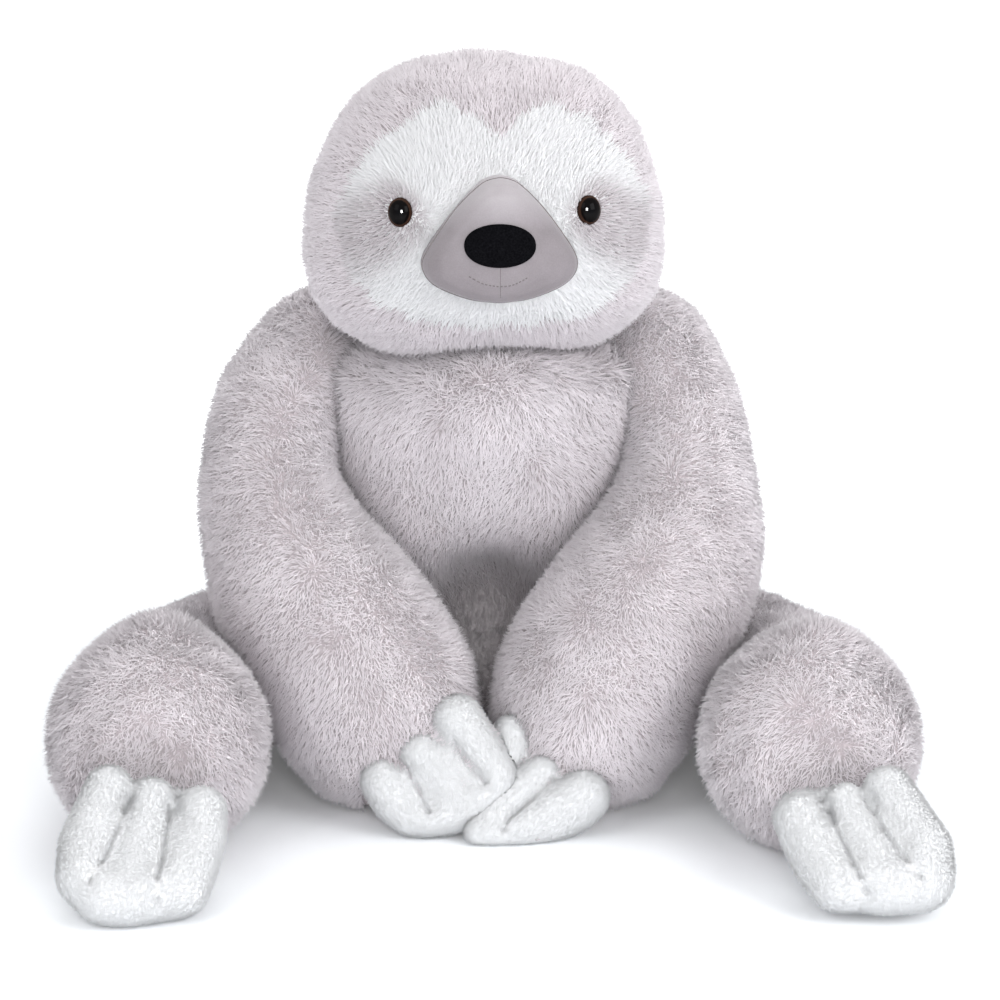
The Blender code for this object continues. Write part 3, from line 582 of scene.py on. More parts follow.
def spikes(name, places, ups, comb, lean, length, radius, tone, material, rng, pull):
    """One mesh of three-sided tufts. Each has its own comb, lean, length, tone and pull of its tip."""
    count = len(places)
    flow = unit(comb - (comb * ups).sum(1, keepdims=True) * ups)
    grow = unit(ups * np.cos(lean)[:, None] + flow * np.sin(lean)[:, None])
    helper = np.where(np.abs(grow[:, 2:3]) < 0.9, [[0.0, 0.0, 1.0]], [[1.0, 0.0, 0.0]])
    across = unit(np.cross(helper, grow))
    beside = np.cross(grow, across)
    turn = rng.random(count) * math.tau
    corners = np.zeros((count, 4, 3))
    shading = np.zeros((count, 4, 3))
    for k in range(3):
        angle = turn + math.tau * k / 3
        out = across * np.cos(angle)[:, None] + beside * np.sin(angle)[:, None]
        corners[:, k] = places - grow * TUFT_ROOT + out * radius
        shading[:, k] = unit(ups + out * 0.45)
    corners[:, 3] = places + grow * length[:, None] + pull - (pull * ups).sum(1, keepdims=True) * ups
    corners[:, :, 2] = np.maximum(corners[:, :, 2], TUFT_LOWEST)
    shading[:, 3] = unit(ups + flow * 0.15)
    mesh = bpy.data.meshes.new(name)
    mesh.vertices.add(count * 4)
    mesh.vertices.foreach_set("co", corners.ravel())
    start = np.arange(count)[:, None, None] * 4
    faces = (start + np.array([[0, 1, 3], [1, 2, 3], [2, 0, 3]])[None]).reshape(-1, 3)
    mesh.loops.add(faces.size)
    mesh.loops.foreach_set("vertex_index", faces.ravel())
    mesh.polygons.add(len(faces))
    mesh.polygons.foreach_set("loop_start", np.arange(0, faces.size, 3))
    mesh.update(calc_edges=True)
    mesh.shade_smooth()
    # Each face is a thin band of the map, clear of the map's edges.
    for layer in ("Tuft", "OFBake"):
        uv = mesh.uv_layers.new(name=layer)
        tones = np.clip(tone, 0.0, 1.0)[:, None] * 0.96 + 0.02
        up = np.tile(tones, (1, 9)) + np.tile([-0.012, 0.012, 0.0], 3)[None]
        along = np.tile(np.tile([0.01, 0.01, 0.99], 3), (count, 1))
        uv.data.foreach_set("uv", np.stack([along, up], axis=2).ravel())
    mesh.uv_layers.active = mesh.uv_layers["Tuft"]
    mesh.normals_split_custom_set_from_vertices(shading.reshape(-1, 3))
    mesh.materials.append(material)
    piece = bpy.data.objects.new(name, mesh)
    bpy.context.scene.collection.objects.link(piece)
    print(name, count, "tufts")
    return piece


# %% [markdown]
# ## The coat of the body and limbs
#
# The pile of the toy isn't combed: it falls roughly downwards, in clumps of a few millimetres whose tufts meet at the
# tip. Down the right arm it parts along a line, and on each limb it turns in a small whorl. There the tufts stand up
# and show their pinkish roots, while elsewhere they lie over each other and look smooth and pale.

# %% Grey coat
SPACING = 0.00155
PILE_LENGTH = 0.0090
PILE_RADIUS = 0.00072
CLUMP = 0.0056
CLUMP_SHARE = 0.46
WHORL_REACH = 0.030
PARTING_REACH = 0.013
SEAT_GAP = 0.0030
NAPE = 0.335
RECESS = (488, 645)
RECESS_REACH = 0.070
# The way in which each coat falls, and the picture's places where it opens.
COATS = {
    "body": ((0.0, -0.25, -1.0), [(440, 420), (540, 470), (486, 600), (487, 640), (487, 680)]),
    "neck": ((0.0, -0.9, -0.5), []),
    "arm_left": ((0.35, -0.35, -0.9), [(640, 400), (668, 470), (640, 560), (575, 615), (590, 700)]),
    "arm_right": (
        (-0.35, -0.35, -0.9),
        [(326, 340), (321, 356), (308, 378), (294, 397), (282, 412), (274, 430), (272, 455), (278, 480), (284, 505),
         (296, 528), (308, 548), (312, 566), (330, 640)],
    ),
    "leg_left": ((0.15, -0.8, -0.5), [(797, 703), (812, 722), (835, 742)]),
    "leg_right": ((-0.15, -0.8, -0.5), [(148, 722), (165, 738), (180, 752)]),
}


def parting_of(part):
    """Where the coat of a part opens, found on its skin by the picture's pixels."""
    tree = tree_of(skins[part])
    found = [seen_at(tree, *place) for place in COATS[part][1]]
    return [place for place in found if place is not None]


def coat_of(name, part, places, ups, seed, shade=0.0):
    """The grey pile on these places of one skin, darker where shade is more than zero."""
    rng = np.random.default_rng(seed)
    count = len(places)
    main = np.array(COATS[part][0])
    wander = drift(places, 28.0, seed + 1) * 0.40 + drift(places, 110.0, seed + 4) * 0.40
    comb = main + wander + rng.normal(size=places.shape) * 0.50
    lean = 41 + drift(places, 40.0, seed + 2)[:, 0] * 11 + rng.normal(size=count) * 11
    opening = parting_of(part)
    near = np.zeros(count)
    if opening:
        away, far = from_lines(places, opening)
        comb += away * bell(far, WHORL_REACH)[:, None]
        near = bell(far, PARTING_REACH) * (0.65 + 0.35 * drift(places, 150.0, seed + 5)[:, 2])
        lean *= 1 - 0.85 * near
    lean = np.radians(np.clip(lean, 6, 70))
    pull, clump_tone = clumps(places, CLUMP, seed)
    pull *= (CLUMP_SHARE + 0.35 * near)[:, None]
    full = 2.0 if part == "neck" else 1.0
    if part == "body":
        full = 1 + 0.7 * bell(places[:, 2] - NAPE, 0.020)
    length = PILE_LENGTH * full * (1 + rng.normal(size=count) * 0.13)
    tone = 0.84 + drift(places, 22.0, seed + 3)[:, 1] * 0.10 + (clump_tone - 0.5) * 0.24
    tone += rng.normal(size=count) * 0.09 - near * 0.30 - shade
    return spikes(name, places, ups, comb, lean, length, PILE_RADIUS, tone, grey_pile, rng, pull)


coats = {}
for k, part in enumerate(COATS):
    seed = 11 + 7 * k
    spacing = SPACING * (1.02 if part.startswith("leg") or part == "arm_right" else 1.0)
    places, ups = scatter(skins[part], spacing, np.random.default_rng(seed))
    keep = places[:, 2] > SEAT_GAP
    if part.startswith("arm"):
        # The hands hide this part of the arms, and long pile would show between the fingers.
        keep &= (places[:, 2] > 0.030) | (places[:, 1] > -0.180) | (np.abs(places[:, 0]) > 0.095)
    places, ups = places[keep], ups[keep]
    if part == "body":
        # Between the arms the belly folds in. Its pile there is thinned, so that more of the dark cloth shows, and
        # given a darker tone: painted shade of the hollow between the arms.
        far = np.linalg.norm(places - np.array(seen_at(tree_of(body_skin), *RECESS)), axis=1)
        recess_shade = np.exp(-((far / RECESS_REACH) ** 4))
        keep = np.random.default_rng(3).random(len(places)) > 0.75 * recess_shade
        places, ups, recess_shade = places[keep], ups[keep], recess_shade[keep]
        for name, half in (("body", places[:, 1] < 0.0), ("body_back", places[:, 1] >= 0.0)):
            coats[name] = coat_of(f"{name}_pile", part, places[half], ups[half], seed, recess_shade[half] * 0.9)
    else:
        coats[part] = coat_of(f"{part}_pile", part, places, ups, seed)

# %% [markdown]
# ## The head
#
# The face is a white panel let into a grey hood, with a dip in the middle of the brow, and a soft grey patch round
# each eye whose pile fans outwards. All of it is one coat on one skin: a tuft looks up what part of the face it
# stands on, seen straight from the front of the head, and takes its colour from there.

# %% Places on the head
NECK = Vector((0.0, -0.05, 0.34))
HEAD_TURN = Matrix.Rotation(math.radians(5.0), 3, "Z")


def head_place(across, ahead, up):
    """A place in the toy's frame from one measured on the head: across to its left, ahead of its neck, and up."""
    return NECK + HEAD_TURN @ Vector((across, -ahead, up - NECK.z))


def on_head(points):
    """The head's own coordinates of many places: across, ahead and up."""
    turned = (points - np.array([NECK.x, NECK.y, 0.0])) @ np.array(HEAD_TURN)
    return np.stack([turned[:, 0], -turned[:, 1], turned[:, 2]], axis=1)


def inside(across, up, outline):
    """Which places lie inside a closed outline."""
    found = np.zeros(len(across), bool)
    for (x1, y1), (x2, y2) in zip(outline, outline[1:] + outline[:1]):
        crosses = (y1 > up) != (y2 > up)
        at = x1 + (up - y1) * (x2 - x1) / (y2 - y1 if y2 != y1 else 1e-9)
        found ^= crosses & (across < at)
    return found


def both_halves(half):
    """A closed outline from its half, which runs from the top down to the bottom."""
    return half + [(-x, z) for x, z in reversed(half[1:-1])]


# %% The face's outline
FACE_HALF = [
    (0.000, 0.5245), (0.008, 0.530), (0.018, 0.539), (0.034, 0.546), (0.052, 0.5445), (0.070, 0.535),
    (0.088, 0.520), (0.103, 0.500), (0.114, 0.478), (0.118, 0.458), (0.114, 0.434), (0.104, 0.414),
    (0.086, 0.401), (0.064, 0.391), (0.036, 0.386), (0.000, 0.385),
]
FACE = both_halves(FACE_HALF)
FACE_AHEAD = 0.02
EYE_ACROSS = 0.0715
EYE_SHIFT = -0.002
EYE_UP = 0.4705
EYE_HOLE = 0.0080
MUZZLE_UP = 0.45
FACE_CENTRE = np.array(head_place(0.0, 0.15, MUZZLE_UP))

rng = np.random.default_rng(5)
places, ups = scatter(head_skin, SPACING * 0.97, rng)
local = on_head(places)
wobble = drift(places, 90.0, 3) * 0.0022
white = (local[:, 1] > FACE_AHEAD) & inside(local[:, 0] + wobble[:, 0], local[:, 2] + wobble[:, 1], FACE)
print("face tufts", int(white.sum()), "of", len(places))
points, _, _ = surface(head_skin)
skin_local = on_head(points)
masked = (skin_local[:, 1] > FACE_AHEAD) & inside(skin_local[:, 0], skin_local[:, 2], FACE)
head_skin.data.attributes.new("mask", "FLOAT", "POINT").data.foreach_set("value", masked.astype(float))

# %% Coat of the hood
# It fans away from the middle of the face and falls with its own weight.
hood, hood_ups, hood_local = places[~white], ups[~white], local[~white]
flow = unit(hood - FACE_CENTRE) + np.array([0.0, 0.25, -0.12]) + drift(hood, 30.0, 21) * 0.30
flow = flow + rng.normal(size=hood.shape) * 0.40 + drift(hood, 110.0, 24) * 0.35
side_on = 1 - np.clip((hood_ups * np.array([0.1, -0.97, 0.2])).sum(1), 0, 1)
stand = drift(hood, 42.0, 22)[:, 0]
lean = np.radians(np.clip(34 + 20 * side_on + stand * 11 + rng.normal(size=len(hood)) * 11, 6, 68))
pull, clump_tone = clumps(hood, CLUMP, 25)
under = bell(hood_local[:, 2] - 0.350, 0.020)
length = PILE_LENGTH * 0.92 * (1 + rng.normal(size=len(hood)) * 0.12) * (1 + 0.35 * under)
tone = 0.76 + drift(hood, 20.0, 23)[:, 1] * 0.09 + (clump_tone - 0.5) * 0.20 + rng.normal(size=len(hood)) * 0.08
coats["head"] = spikes(
    "head_pile", hood, hood_ups, flow, lean, length, PILE_RADIUS, tone, grey_pile, rng, pull * CLUMP_SHARE
)

# %% Coat of the face
# Round each eye the pile fans outwards, and a grey patch runs from the eye outwards and down.
PATCH_OUT = 0.066
PATCH_IN = 0.0125
mask, mask_ups, mask_local = places[white], ups[white], local[white]
flow = unit(mask - FACE_CENTRE) + drift(mask, 34.0, 31) * 0.22
greyness = np.zeros(len(mask))
clear = np.ones(len(mask), bool)
for sign in (1.0, -1.0):
    from_eye = np.stack([(mask_local[:, 0] * sign - EYE_ACROSS), mask_local[:, 2] - EYE_UP], axis=1)
    outward = from_eye @ np.array([0.82, -0.57])
    along = from_eye @ np.array([0.57, 0.82])
    spread = np.where(outward > 0, PATCH_OUT, PATCH_IN)
    far = np.hypot(outward / spread, along / (0.020 + 0.22 * np.clip(outward, 0, 0.1)))
    greyness = np.maximum(greyness, np.exp(-np.maximum(far - 0.62, 0) ** 2 * 3.0))
    near = bell(np.linalg.norm(from_eye, axis=1), 0.045)[:, None]
    eye = np.array(head_place(sign * EYE_ACROSS + EYE_SHIFT, 0.105, EYE_UP))
    flow += unit(mask - eye) * near * 2.2
    clear &= np.hypot(mask_local[:, 0] - sign * EYE_ACROSS - EYE_SHIFT, from_eye[:, 1]) > EYE_HOLE
greyness = greyness * (0.93 + 0.07 * drift(mask, 160.0, 36)[:, 0]) + rng.normal(size=len(mask)) * 0.05
flow += rng.normal(size=mask.shape) * 0.30
lean = np.radians(np.clip(50 + rng.normal(size=len(mask)) * 10, 20, 72))
length = PILE_LENGTH * (1 + rng.normal(size=len(mask)) * 0.15)
pull, _ = clumps(mask, CLUMP, 33)
chosen = [array[clear] for array in (mask, mask_ups, flow, lean, length)]
coats["face"] = spikes("face_pile", *chosen, 0.0008, greyness[clear], face_pile, rng, pull[clear] * 0.3)

# %% [markdown]
# ## Hands and feet
#
# A mitt is sewn from white plush with a much shorter pile. Two stitched channels part it into three fingers like
# sausages, which end together in a blunt tip. Each finger is built as a string of overlapping balls along its middle,
# the balls are wrapped into one skin, and the skin is smoothed and then drawn in along the stitching. The strings are
# drawn on the picture, and lie in the plane of the mitt's own solid, so that the mitt stays where the solid is.

# %% Fingers as strings of balls
# Each place is across and down in the picture, with the finger's half width there, all in its pixels.
FINGERS = {
    "hand_right": [
        [(383, 780, 23), (394, 797, 24), (411, 815, 21), (426, 817, 21)],
        [(422, 757, 26), (430, 764, 27), (441, 778, 28), (455, 797, 28)],
        [(457, 720, 26), (466, 733, 25), (480, 750, 24), (496, 775, 21)],
        [(426, 817, 21), (450, 811, 23), (478, 799, 23), (496, 780, 21)],
    ],
    "hand_left": [
        [(512, 734, 20), (512, 748, 20), (508, 766, 20)],
        [(541, 775, 21), (530, 785, 23), (512, 802, 23), (494, 820, 20), (478, 830, 15)],
        [(583, 796, 27), (572, 804, 29), (549, 816, 28), (522, 828, 21), (496, 833, 16), (476, 834, 12)],
    ],
    "foot_right": [
        [(109, 789, 24), (102, 810, 26), (88, 845, 29), (86, 876, 30), (104, 895, 29)],
        [(151, 802, 25), (147, 825, 26), (136, 862, 28), (128, 895, 32)],
        [(201, 812, 26), (197, 835, 29), (187, 865, 31), (178, 886, 32)],
        [(104, 895, 29), (128, 895, 32), (156, 890, 32), (178, 886, 32)],
    ],
    "foot_left": [
        [(801, 818, 25), (806, 832, 27), (822, 862, 29), (838, 885, 27)],
        [(846, 805, 22), (856, 826, 25), (874, 858, 28), (888, 884, 30)],
        [(888, 791, 25), (900, 812, 27), (922, 850, 31), (922, 876, 33)],
        [(838, 885, 27), (862, 883, 29), (888, 884, 31), (920, 878, 34)],
    ],
}
# The web of the mitt under each channel: wide enough to leave only a shallow fold between two fingers.
WEBS = {
    "hand_right": [[(414, 781, 22), (426, 800, 22)], [(456, 759, 22), (470, 775, 22)]],
    "hand_left": [[(541, 797, 19), (516, 816, 16)]],
    "foot_right": [
        [(119, 826, 19), (110, 850, 25), (104, 880, 27)],
        [(168, 834, 20), (162, 855, 26), (156, 884, 28)],
    ],
    "foot_left": [
        [(838, 838, 20), (850, 860, 25), (862, 882, 26)],
        [(882, 826, 20), (898, 850, 27), (908, 872, 29)],
    ],
}
# Each channel from the root of the fingers to where the stitching ends.
CHANNELS = {
    "hand_right": [[(395, 759), (406, 769), (416, 787), (428, 811)], [(429, 729), (453, 745), (464, 758), (485, 783)]],
    "hand_left": [[(556, 776), (531, 797), (508, 816), (503, 830)], [(526, 757), (518, 765)]],
    "foot_right": [
        [(131, 792), (126, 806), (115, 832), (105, 855), (88, 880)],
        [(173, 806), (168, 822), (163, 852), (157, 874), (158, 902)],
    ],
    "foot_left": [
        [(826, 806), (833, 820), (843, 840), (859, 873), (866, 893)],
        [(864, 795), (872, 808), (883, 826), (905, 856), (921, 877)],
    ],
}
# The foot's stuffing runs on into its leg. Each place is across, ahead and up, with its radius, in metres.
ANKLES = {
    "foot_left": [
        (0.242, 0.374, 0.040, 0.018), (0.264, 0.372, 0.040, 0.019), (0.286, 0.370, 0.040, 0.018),
        (0.238, 0.354, 0.042, 0.021), (0.260, 0.352, 0.042, 0.023), (0.282, 0.350, 0.042, 0.021),
        (0.236, 0.334, 0.046, 0.023), (0.256, 0.332, 0.046, 0.025), (0.276, 0.330, 0.046, 0.023),
        (0.254, 0.312, 0.050, 0.024),
    ],
}
ANKLES["foot_right"] = [(-across * 0.962, ahead, up, radius) for across, ahead, up, radius in ANKLES["foot_left"]]
BALL_STEP = 4.0
MITT_VOXEL = 0.0018
MITT_SINK = 0.85
MITT_LOWEST = 0.0008
MITT_SMOOTH = 30
MITT_PILE = 0.0034
MITT_TUFT = 0.00055
MITT_CLUMP = 0.003
LINE_STEP = 0.001
WEB_SINK = 0.0022
SEAM_WIDTH = 0.0014
FOLD_WIDTH = 0.0065
SEAM_DEPTH = 0.0052
FOLD_DEPTH = 0.0020


def string_of_balls(drawn):
    """Close-set places and half widths along one finger, in the picture's pixels."""
    balls = []
    for first, last in zip(drawn, drawn[1:]):
        steps = max(int(math.dist(first[:2], last[:2]) / BALL_STEP), 1)
        balls += [tuple(a + (b - a) * k / steps for a, b in zip(first, last)) for k in range(steps)]
    return balls + [drawn[-1]]


def mitt_depth(node, balls):
    """How far off the mitt's front lies at each ball, as a plane through what the camera sees of the solid."""
    tree = tree_of(nodes[node])
    rows, depths = [], []
    for across, down, _ in balls:
        place = seen_at(tree, across, down)
        if place is not None:
            rows.append((across - MIDDLE, down - MIDDLE, 1.0))
            depths.append((place - camera.location).dot(look))
    plane = np.linalg.lstsq(np.array(rows), np.array(depths), rcond=None)[0]
    return [float(np.array((across - MIDDLE, down - MIDDLE, 1.0)) @ plane) for across, down, _ in balls]


def add_ball(shape, centre, radius):
    """Adds one ball to a bmesh."""
    bmesh.ops.create_icosphere(shape, subdivisions=3, radius=radius, matrix=Matrix.Translation(centre))


def mitt_skin(part):
    """The wrapped and smoothed skin of one mitt, and the balls inside it."""
    balls = [ball for drawn in FINGERS[part] for ball in string_of_balls(drawn)]
    webs = [ball for drawn in WEBS[part] for ball in string_of_balls(drawn)]
    sinks = [0.0] * len(balls) + [WEB_SINK] * len(webs)
    balls += webs
    shape = bmesh.new()
    inner = []
    for (across, down, half), depth, sink in zip(balls, mitt_depth(part, balls), sinks):
        radius = half * depth / FOCAL
        centre = camera.location + ray_through(across, down) * (depth + radius * MITT_SINK + sink)
        centre.z = max(centre.z, radius * 0.75)
        inner.append((centre, radius))
        add_ball(shape, centre, radius)
    for across, ahead, up, radius in ANKLES.get(part, []):
        add_ball(shape, (across, -ahead, up), radius)
    kind, side = part.split("_")
    piece = new_piece(f"{kind}_skin_{side}", shape, white_cloth)
    wrap(piece, MITT_VOXEL, MITT_SMOOTH)
    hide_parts(part)
    print(part, len(balls), "balls", len(piece.data.polygons), "faces")
    return piece, inner


def press_out(piece, others, gap):
    """Dents a skin where it would run into the balls of another mitt or into the floor."""
    points, _, _ = surface(piece)
    for centre, radius in others:
        step = points - np.array(centre)
        far = np.linalg.norm(step, axis=1)
        deep = far < radius + gap
        points[deep] += step[deep] * ((radius + gap) / far[deep] - 1)[:, None]
    move_points(piece, points, MITT_LOWEST)
    if others:
        apply(piece, "SMOOTH", factor=0.5, iterations=20)


# %% Skins of the mitts
mitt_balls = {}
for part in FINGERS:
    skins[part], mitt_balls[part] = mitt_skin(part)
for part in FINGERS:
    press_out(skins[part], mitt_balls["hand_right"] if part == "hand_left" else [], 0.0002)


# %% Channels of the mitts
def channel_lines(part):
    """Close-set places along each channel, on the mitt's own skin."""
    tree = tree_of(skins[part])
    lines = []
    for drawn in CHANNELS[part]:
        found = [seen_at(tree, *place) for place in drawn]
        found = [place for place in found if place is not None]
        for first, last in zip(found, found[1:]):
            steps = max(int((last - first).length / LINE_STEP), 1)
            lines += [tuple(first.lerp(last, k / steps)) for k in range(steps + 1)]
    return np.array(lines)


def sew_channels(part, line):
    """Draws the skin in along its channels, deep and narrow at the seam and shallow beside it."""
    points, normals, _ = surface(skins[part])
    _, far = from_lines(points, line)
    deep = SEAM_DEPTH * bell(far, SEAM_WIDTH) + FOLD_DEPTH * bell(far, FOLD_WIDTH)
    move_points(skins[part], points - normals * deep[:, None], MITT_LOWEST)
    apply(skins[part], "SMOOTH", factor=0.5, iterations=3)
    print(part, "channels", len(line), "places")


# %% Short white pile
def mitt_coat(part, seed):
    """Short white pile of one mitt."""
    rng = np.random.default_rng(seed)
    line = channel_lines(part)
    sew_channels(part, line)
    places, ups = scatter(skins[part], SPACING * 0.85, rng)
    _, far = from_lines(places, line)
    channel = bell(far, SEAM_WIDTH * 1.1)
    keep = places[:, 2] > 0.0015
    comb = np.array([0.0, -0.6, -0.8]) + drift(places, 45.0, seed) * 0.5 + rng.normal(size=places.shape) * 0.35
    lean = np.radians(np.clip(50 + rng.normal(size=len(places)) * 9, 20, 70))
    length = MITT_PILE * (1 + rng.normal(size=len(places)) * 0.14) * (1 - 0.80 * channel)
    # Tufts along the channels take the darker beige look: painted shade in the stitched creases.
    tone = channel * 0.9 + rng.normal(size=len(places)) * 0.04
    pull, _ = clumps(places, MITT_CLUMP, seed)
    chosen = [array[keep] for array in (places, ups, comb, lean, length)]
    return spikes(f"{part}_pile", *chosen, MITT_TUFT, tone[keep], white_pile, rng, pull[keep] * 0.2)


for k, part in enumerate(FINGERS):
    coats[part] = mitt_coat(part, 60 + k)

# %% [markdown]
# ## Muzzle, nose and eyes
#
# The muzzle is a firm pad of short velvet, sewn on over the face. The nose is a smaller pad of black velvet. The eyes
# are glossy domes: a black pupil with a thin brown rim.

# %% Muzzle and nose
NOSE_HEIGHT = 0.462
velvet = Finish("muzzle_velvet", Roughness=0.9, Sheen_Weight=0.2, Sheen_Roughness=0.4, Specular_IOR_Level=0.2)
cloud = velvet.noise(38.0, 4.0)
grain = velvet.noise(900.0, 2.0)
share = cloud * 0.6 + grain * 0.4
# The velvet is painted lighter above the nose's height and darker below it: painted light from above on the top of the
# muzzle, painted shade on its lower sides.
height = velvet.node("ShaderNodeSeparateXYZ", {}, {"Vector": velvet.place()}, "Z")
shaded_velvet = velvet.speckle(share, (0.198, 0.175, 0.188), (0.252, 0.226, 0.243))
lit_velvet = velvet.speckle(share, (0.345, 0.316, 0.335), (0.40, 0.372, 0.393))
velvet.colour(velvet.mix((height - NOSE_HEIGHT) * 40.0, shaded_velvet, lit_velvet))
velvet.bump(grain, 0.25, 0.0006)

black = Finish("nose_velvet", Roughness=0.9, Specular_IOR_Level=0.0)
grain = black.noise(700.0, 2.0)
black.colour(black.speckle(grain, (0.0025, 0.0025, 0.0032), (0.0075, 0.0075, 0.009), 0.75))
black.bump(grain, 0.3, 0.0006)

muzzle = soft_skin("muzzle_pad", ["muzzle"], velvet.material, 0.002, 10)
apply(muzzle, "SUBSURF", levels=1, render_levels=1)
muzzle_tree = tree_of(muzzle)
# %% Nose pad
NOSE_RISE = 0.0052
NOSE_EDGE = 0.0004
NOSE_DEEP = -0.0030


def fuller(value, power):
    """A sine or cosine brought nearer to one, which makes an oval a little squarer."""
    return math.copysign(abs(value) ** power, value)


def nose_pad(middle, half, rings=12, spokes=72):
    """An oval pad laid on the muzzle, crowned in the middle, at this place and half size in the picture."""
    shape = bmesh.new()
    layers = []
    for crown in (True, False):
        grid = []
        for ring in range(1, rings + 1):
            share = math.sin(math.pi / 2 * ring / rings)
            rise = NOSE_RISE * math.sqrt(max(1 - share**2, 0.0)) + NOSE_EDGE if crown else NOSE_DEEP
            row = []
            for spoke in range(spokes):
                angle = math.tau * spoke / spokes
                wide = fuller(math.cos(angle), 0.98) * share
                tall = fuller(math.sin(angle), 0.92) * share
                ray = ray_through(middle[0] + wide * half[0], middle[1] + tall * half[1])
                place, normal = muzzle_tree.ray_cast(camera.location, ray.normalized())[:2]
                row.append(shape.verts.new(place + normal * rise))
            grid.append(row)
        layers.append(grid)
        for row, after in zip(grid, grid[1:]):
            for k in range(spokes):
                corner = [row[k], row[k - 1], after[k - 1], after[k]]
                shape.faces.new(corner if crown else corner[::-1])
        shape.faces.new(grid[0][::-1] if not crown else grid[0])
    for k in range(spokes):
        top, under = layers[0][-1], layers[1][-1]
        shape.faces.new([top[k], top[k - 1], under[k - 1], under[k]])
    bmesh.ops.recalc_face_normals(shape, faces=shape.faces)
    return new_piece("nose_pad", shape, black.material)


nose = nose_pad((500, 246), (36, 22))
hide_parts("nose")
apply(nose, "SUBSURF", levels=1, render_levels=1)
skins["muzzle"] = muzzle

# %% [markdown]
# ## Seams and stitches of the muzzle
#
# The muzzle's edge is sewn down with a dark thread. A fine seam runs from the nose to the chin, and the mouth is one
# row of small stitches. Each is a thin tube laid on the pad, so it can be found by casting a ray at the pad.


# %% Threads
SEAM_RADIUS = 0.00055
STITCH_RADIUS = 0.00046
CHIN_RADIUS = 0.00018
STITCH_STEPS = 8
STITCH_GAP = 0.12
thread = Finish("dark_thread", Roughness=0.8, Sheen_Weight=0.1)
thread.colour(thread.speckle(thread.noise(900.0), (0.035, 0.025, 0.026), (0.075, 0.055, 0.058)))


def tube(name, places, radius, material):
    """A thread of this radius through these places, as a mesh."""
    curve = bpy.data.curves.new(name, "CURVE")
    curve.dimensions = "3D"
    curve.bevel_depth = radius
    curve.bevel_resolution = 2
    curve.use_fill_caps = True
    spline = curve.splines.new("POLY")
    spline.points.add(len(places) - 1)
    for point, place in zip(spline.points, places):
        point.co = (*place, 1.0)
    piece = bpy.data.objects.new(name, curve)
    bpy.context.scene.collection.objects.link(piece)
    only(piece)
    bpy.ops.object.convert(target="MESH")
    piece.data.materials.clear()
    piece.data.materials.append(material)
    piece.data.shade_smooth()
    return piece


def curved(places, steps):
    """More places on a smooth line through the given ones."""
    found = []
    for k in range(len(places) - 1):
        a, b, c, d = (places[min(max(n, 0), len(places) - 1)] for n in (k - 1, k, k + 1, k + 2))
        for n in range(steps):
            t = n / steps
            found.append(tuple(
                0.5 * (2 * q + (r - p) * t + (2 * p - 5 * q + 4 * r - w) * t**2 + (3 * q - p - 3 * r + w) * t**3)
                for p, q, r, w in zip(a, b, c, d)
            ))
    return found + [tuple(places[-1])]


head_tree = tree_of(head_skin)
SMILE = [(469, 276.5), (480, 282.5), (490, 285.5), (500, 286.5), (511, 285.5), (520, 282), (528, 277.5)]
mouth = curved(SMILE, STITCH_STEPS)
threads = []
for k in range(0, len(mouth) - 2, 3):
    ends = [seen_at(muzzle_tree, *mouth[n]) for n in (k, k + 1, k + 2)]
    ends[0] = ends[0].lerp(ends[1], STITCH_GAP)
    ends[2] = ends[2].lerp(ends[1], STITCH_GAP)
    threads.append(tube(f"mouth_stitch_{k:02d}", ends, STITCH_RADIUS, thread.material))
chin = [seen_at(muzzle_tree, 500.5, 268 + k * 3) for k in range(11)]
threads.append(tube("chin_seam", [place for place in chin if place is not None], CHIN_RADIUS, thread.material))

# %% Seam round the muzzle
# It is drawn a little inside the pad's outline, evened out four times and laid on the pad again.
RING_SHARE = 0.985
MUZZLE_HALF = [
    (0.000, 0.500), (0.013, 0.496), (0.031, 0.479), (0.047, 0.458), (0.0578, 0.4405), (0.059, 0.430),
    (0.052, 0.4194), (0.0366, 0.4117), (0.0189, 0.4059), (0.000, 0.404),
]
outline = both_halves(MUZZLE_HALF)
ring = []
for across, up in curved(outline + outline[:1], 6):
    start = head_place(across * RING_SHARE, 0.5, MUZZLE_UP + (up - MUZZLE_UP) * RING_SHARE)
    hit = None
    for tree in (muzzle_tree, head_tree):
        place = tree.ray_cast(start, HEAD_TURN @ Vector((0.0, 1.0, 0.0)))[0]
        if place is not None and (hit is None or place.y < hit.y):
            hit = place
    ring.append(hit)
for _ in range(4):
    before, after = ring[-2:-1] + ring[:-1], ring[1:] + ring[1:2]
    ring = [(a + 2 * b + c) / 4 for a, b, c in zip(before, ring, after)]
    ring = [muzzle_tree.find_nearest(place)[0] for place in ring]
threads.append(tube("muzzle_seam", ring, SEAM_RADIUS, thread.material))
for piece in threads:
    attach(piece, "head")
print("threads", len(threads))

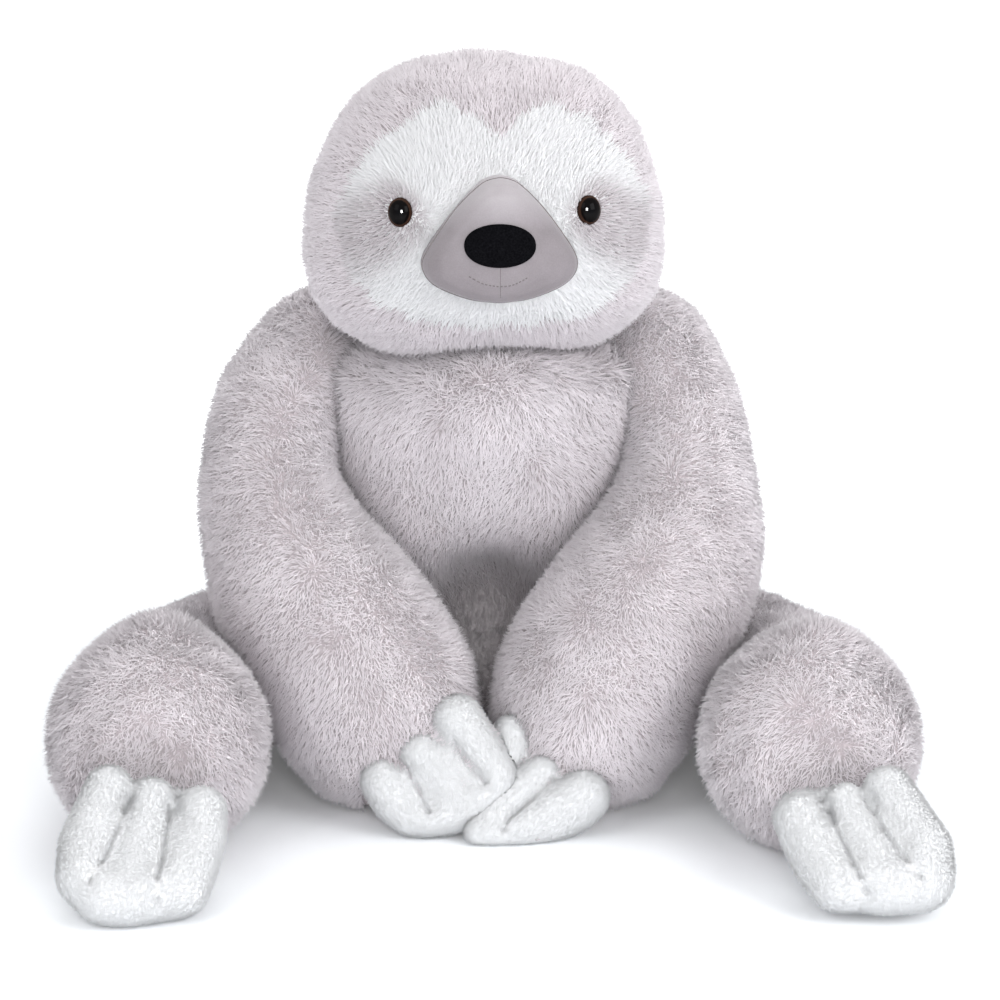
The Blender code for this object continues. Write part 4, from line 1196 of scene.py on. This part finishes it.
# %% Eyes
gloss = Finish("eye_gloss", Roughness=0.035, Specular_IOR_Level=0.045)
PUPIL = (0.003, 0.003, 0.004)
PUPIL_EDGE = (0.004, 0.003, 0.003)
BROWN = (0.045, 0.022, 0.014)
DARK_BROWN = (0.028, 0.013, 0.009)
gloss.colour(gloss.ramp(gloss.attribute("rim"), [(0.0, PUPIL), (0.80, PUPIL_EDGE), (0.87, BROWN), (1.0, DARK_BROWN)]))
EYE_RADIUS = 0.0094
EYE_TALL = 1.2
EYE_DEPTH = 0.0070
EYE_AHEAD = 0.1130
EYE_PROUD = 0.0012
SPLAY = math.radians(13.0)
TILT = math.radians(7.0)
for side, sign in (("left", 1.0), ("right", -1.0)):
    out = HEAD_TURN @ Vector((sign * math.sin(SPLAY), -math.cos(SPLAY), math.sin(TILT))).normalized()
    seat = head_place(sign * EYE_ACROSS + EYE_SHIFT, EYE_AHEAD, EYE_UP)
    bpy.ops.object.select_all(action="DESELECT")
    bpy.ops.mesh.primitive_uv_sphere_add(segments=48, ring_count=24, radius=1.0, location=(0.0, 0.0, 0.0))
    eye = bpy.context.object
    eye.name = f"eye_dome_{side}"
    eye.data.transform(Matrix.Diagonal((EYE_RADIUS, EYE_RADIUS * EYE_TALL, EYE_DEPTH, 1.0)))
    rim = eye.data.attributes.new("rim", "FLOAT", "POINT")
    spread = [math.hypot(v.co.x / EYE_RADIUS, v.co.y / EYE_RADIUS / EYE_TALL) for v in eye.data.vertices]
    rim.data.foreach_set("value", spread)
    turn = out.to_track_quat("Z", "Y").to_matrix().to_4x4()
    eye.data.transform(Matrix.Translation(seat + out * EYE_PROUD) @ turn)
    eye.data.materials.append(gloss.material)
    eye.data.shade_smooth()
    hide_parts(f"eye_{side}")
    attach(eye, "head")

# %% [markdown]
# ## Riding
#
# The table gives where each limb is sewn on to the body. Here the skins and coats of the limbs are only baked into the
# toy's frame, and the rest rides on its own body.

# %% Riding
LIMBS = {
    "arm_left": ((0.100, 0.020, 0.350), (0.168, -0.055, 0.270)),
    "arm_right": ((-0.100, 0.020, 0.350), (-0.168, -0.055, 0.270)),
    "leg_left": ((0.125, 0.030, 0.080), (0.205, -0.050, 0.075)),
    "leg_right": ((-0.125, 0.030, 0.080), (-0.205, -0.050, 0.075)),
}
for limb, (start, end) in LIMBS.items():
    for piece in (skins[limb], coats[limb]):
        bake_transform(piece)
for part, body in (("body", "body"), ("body_back", "body"), ("neck", "neck"), ("head", "head"), ("face", "head")):
    for group in (skins, coats):
        if part in group:
            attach(group[part], body)
for side in ("left", "right"):
    for part, body in ((f"hand_{side}", f"arm_{side}"), (f"foot_{side}", f"foot_{side}")):
        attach(skins[part], body)
        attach(coats[part], body)
for piece in (muzzle, nose):
    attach(piece, "head")

# %% [markdown]
# ## Lock washers
#
# The washers inside the head keep their own shape and only get the look of moulded plastic.

# %% Washers
plastic = Finish("washer_plastic", Roughness=0.45)
plastic.colour(plastic.speckle(plastic.noise(400.0), (0.62, 0.62, 0.60), (0.72, 0.72, 0.70)))
for side in ("left", "right"):
    washer = nodes[f"eye_washer_{side}"]
    for slot in washer.material_slots:
        slot.material = plastic.material
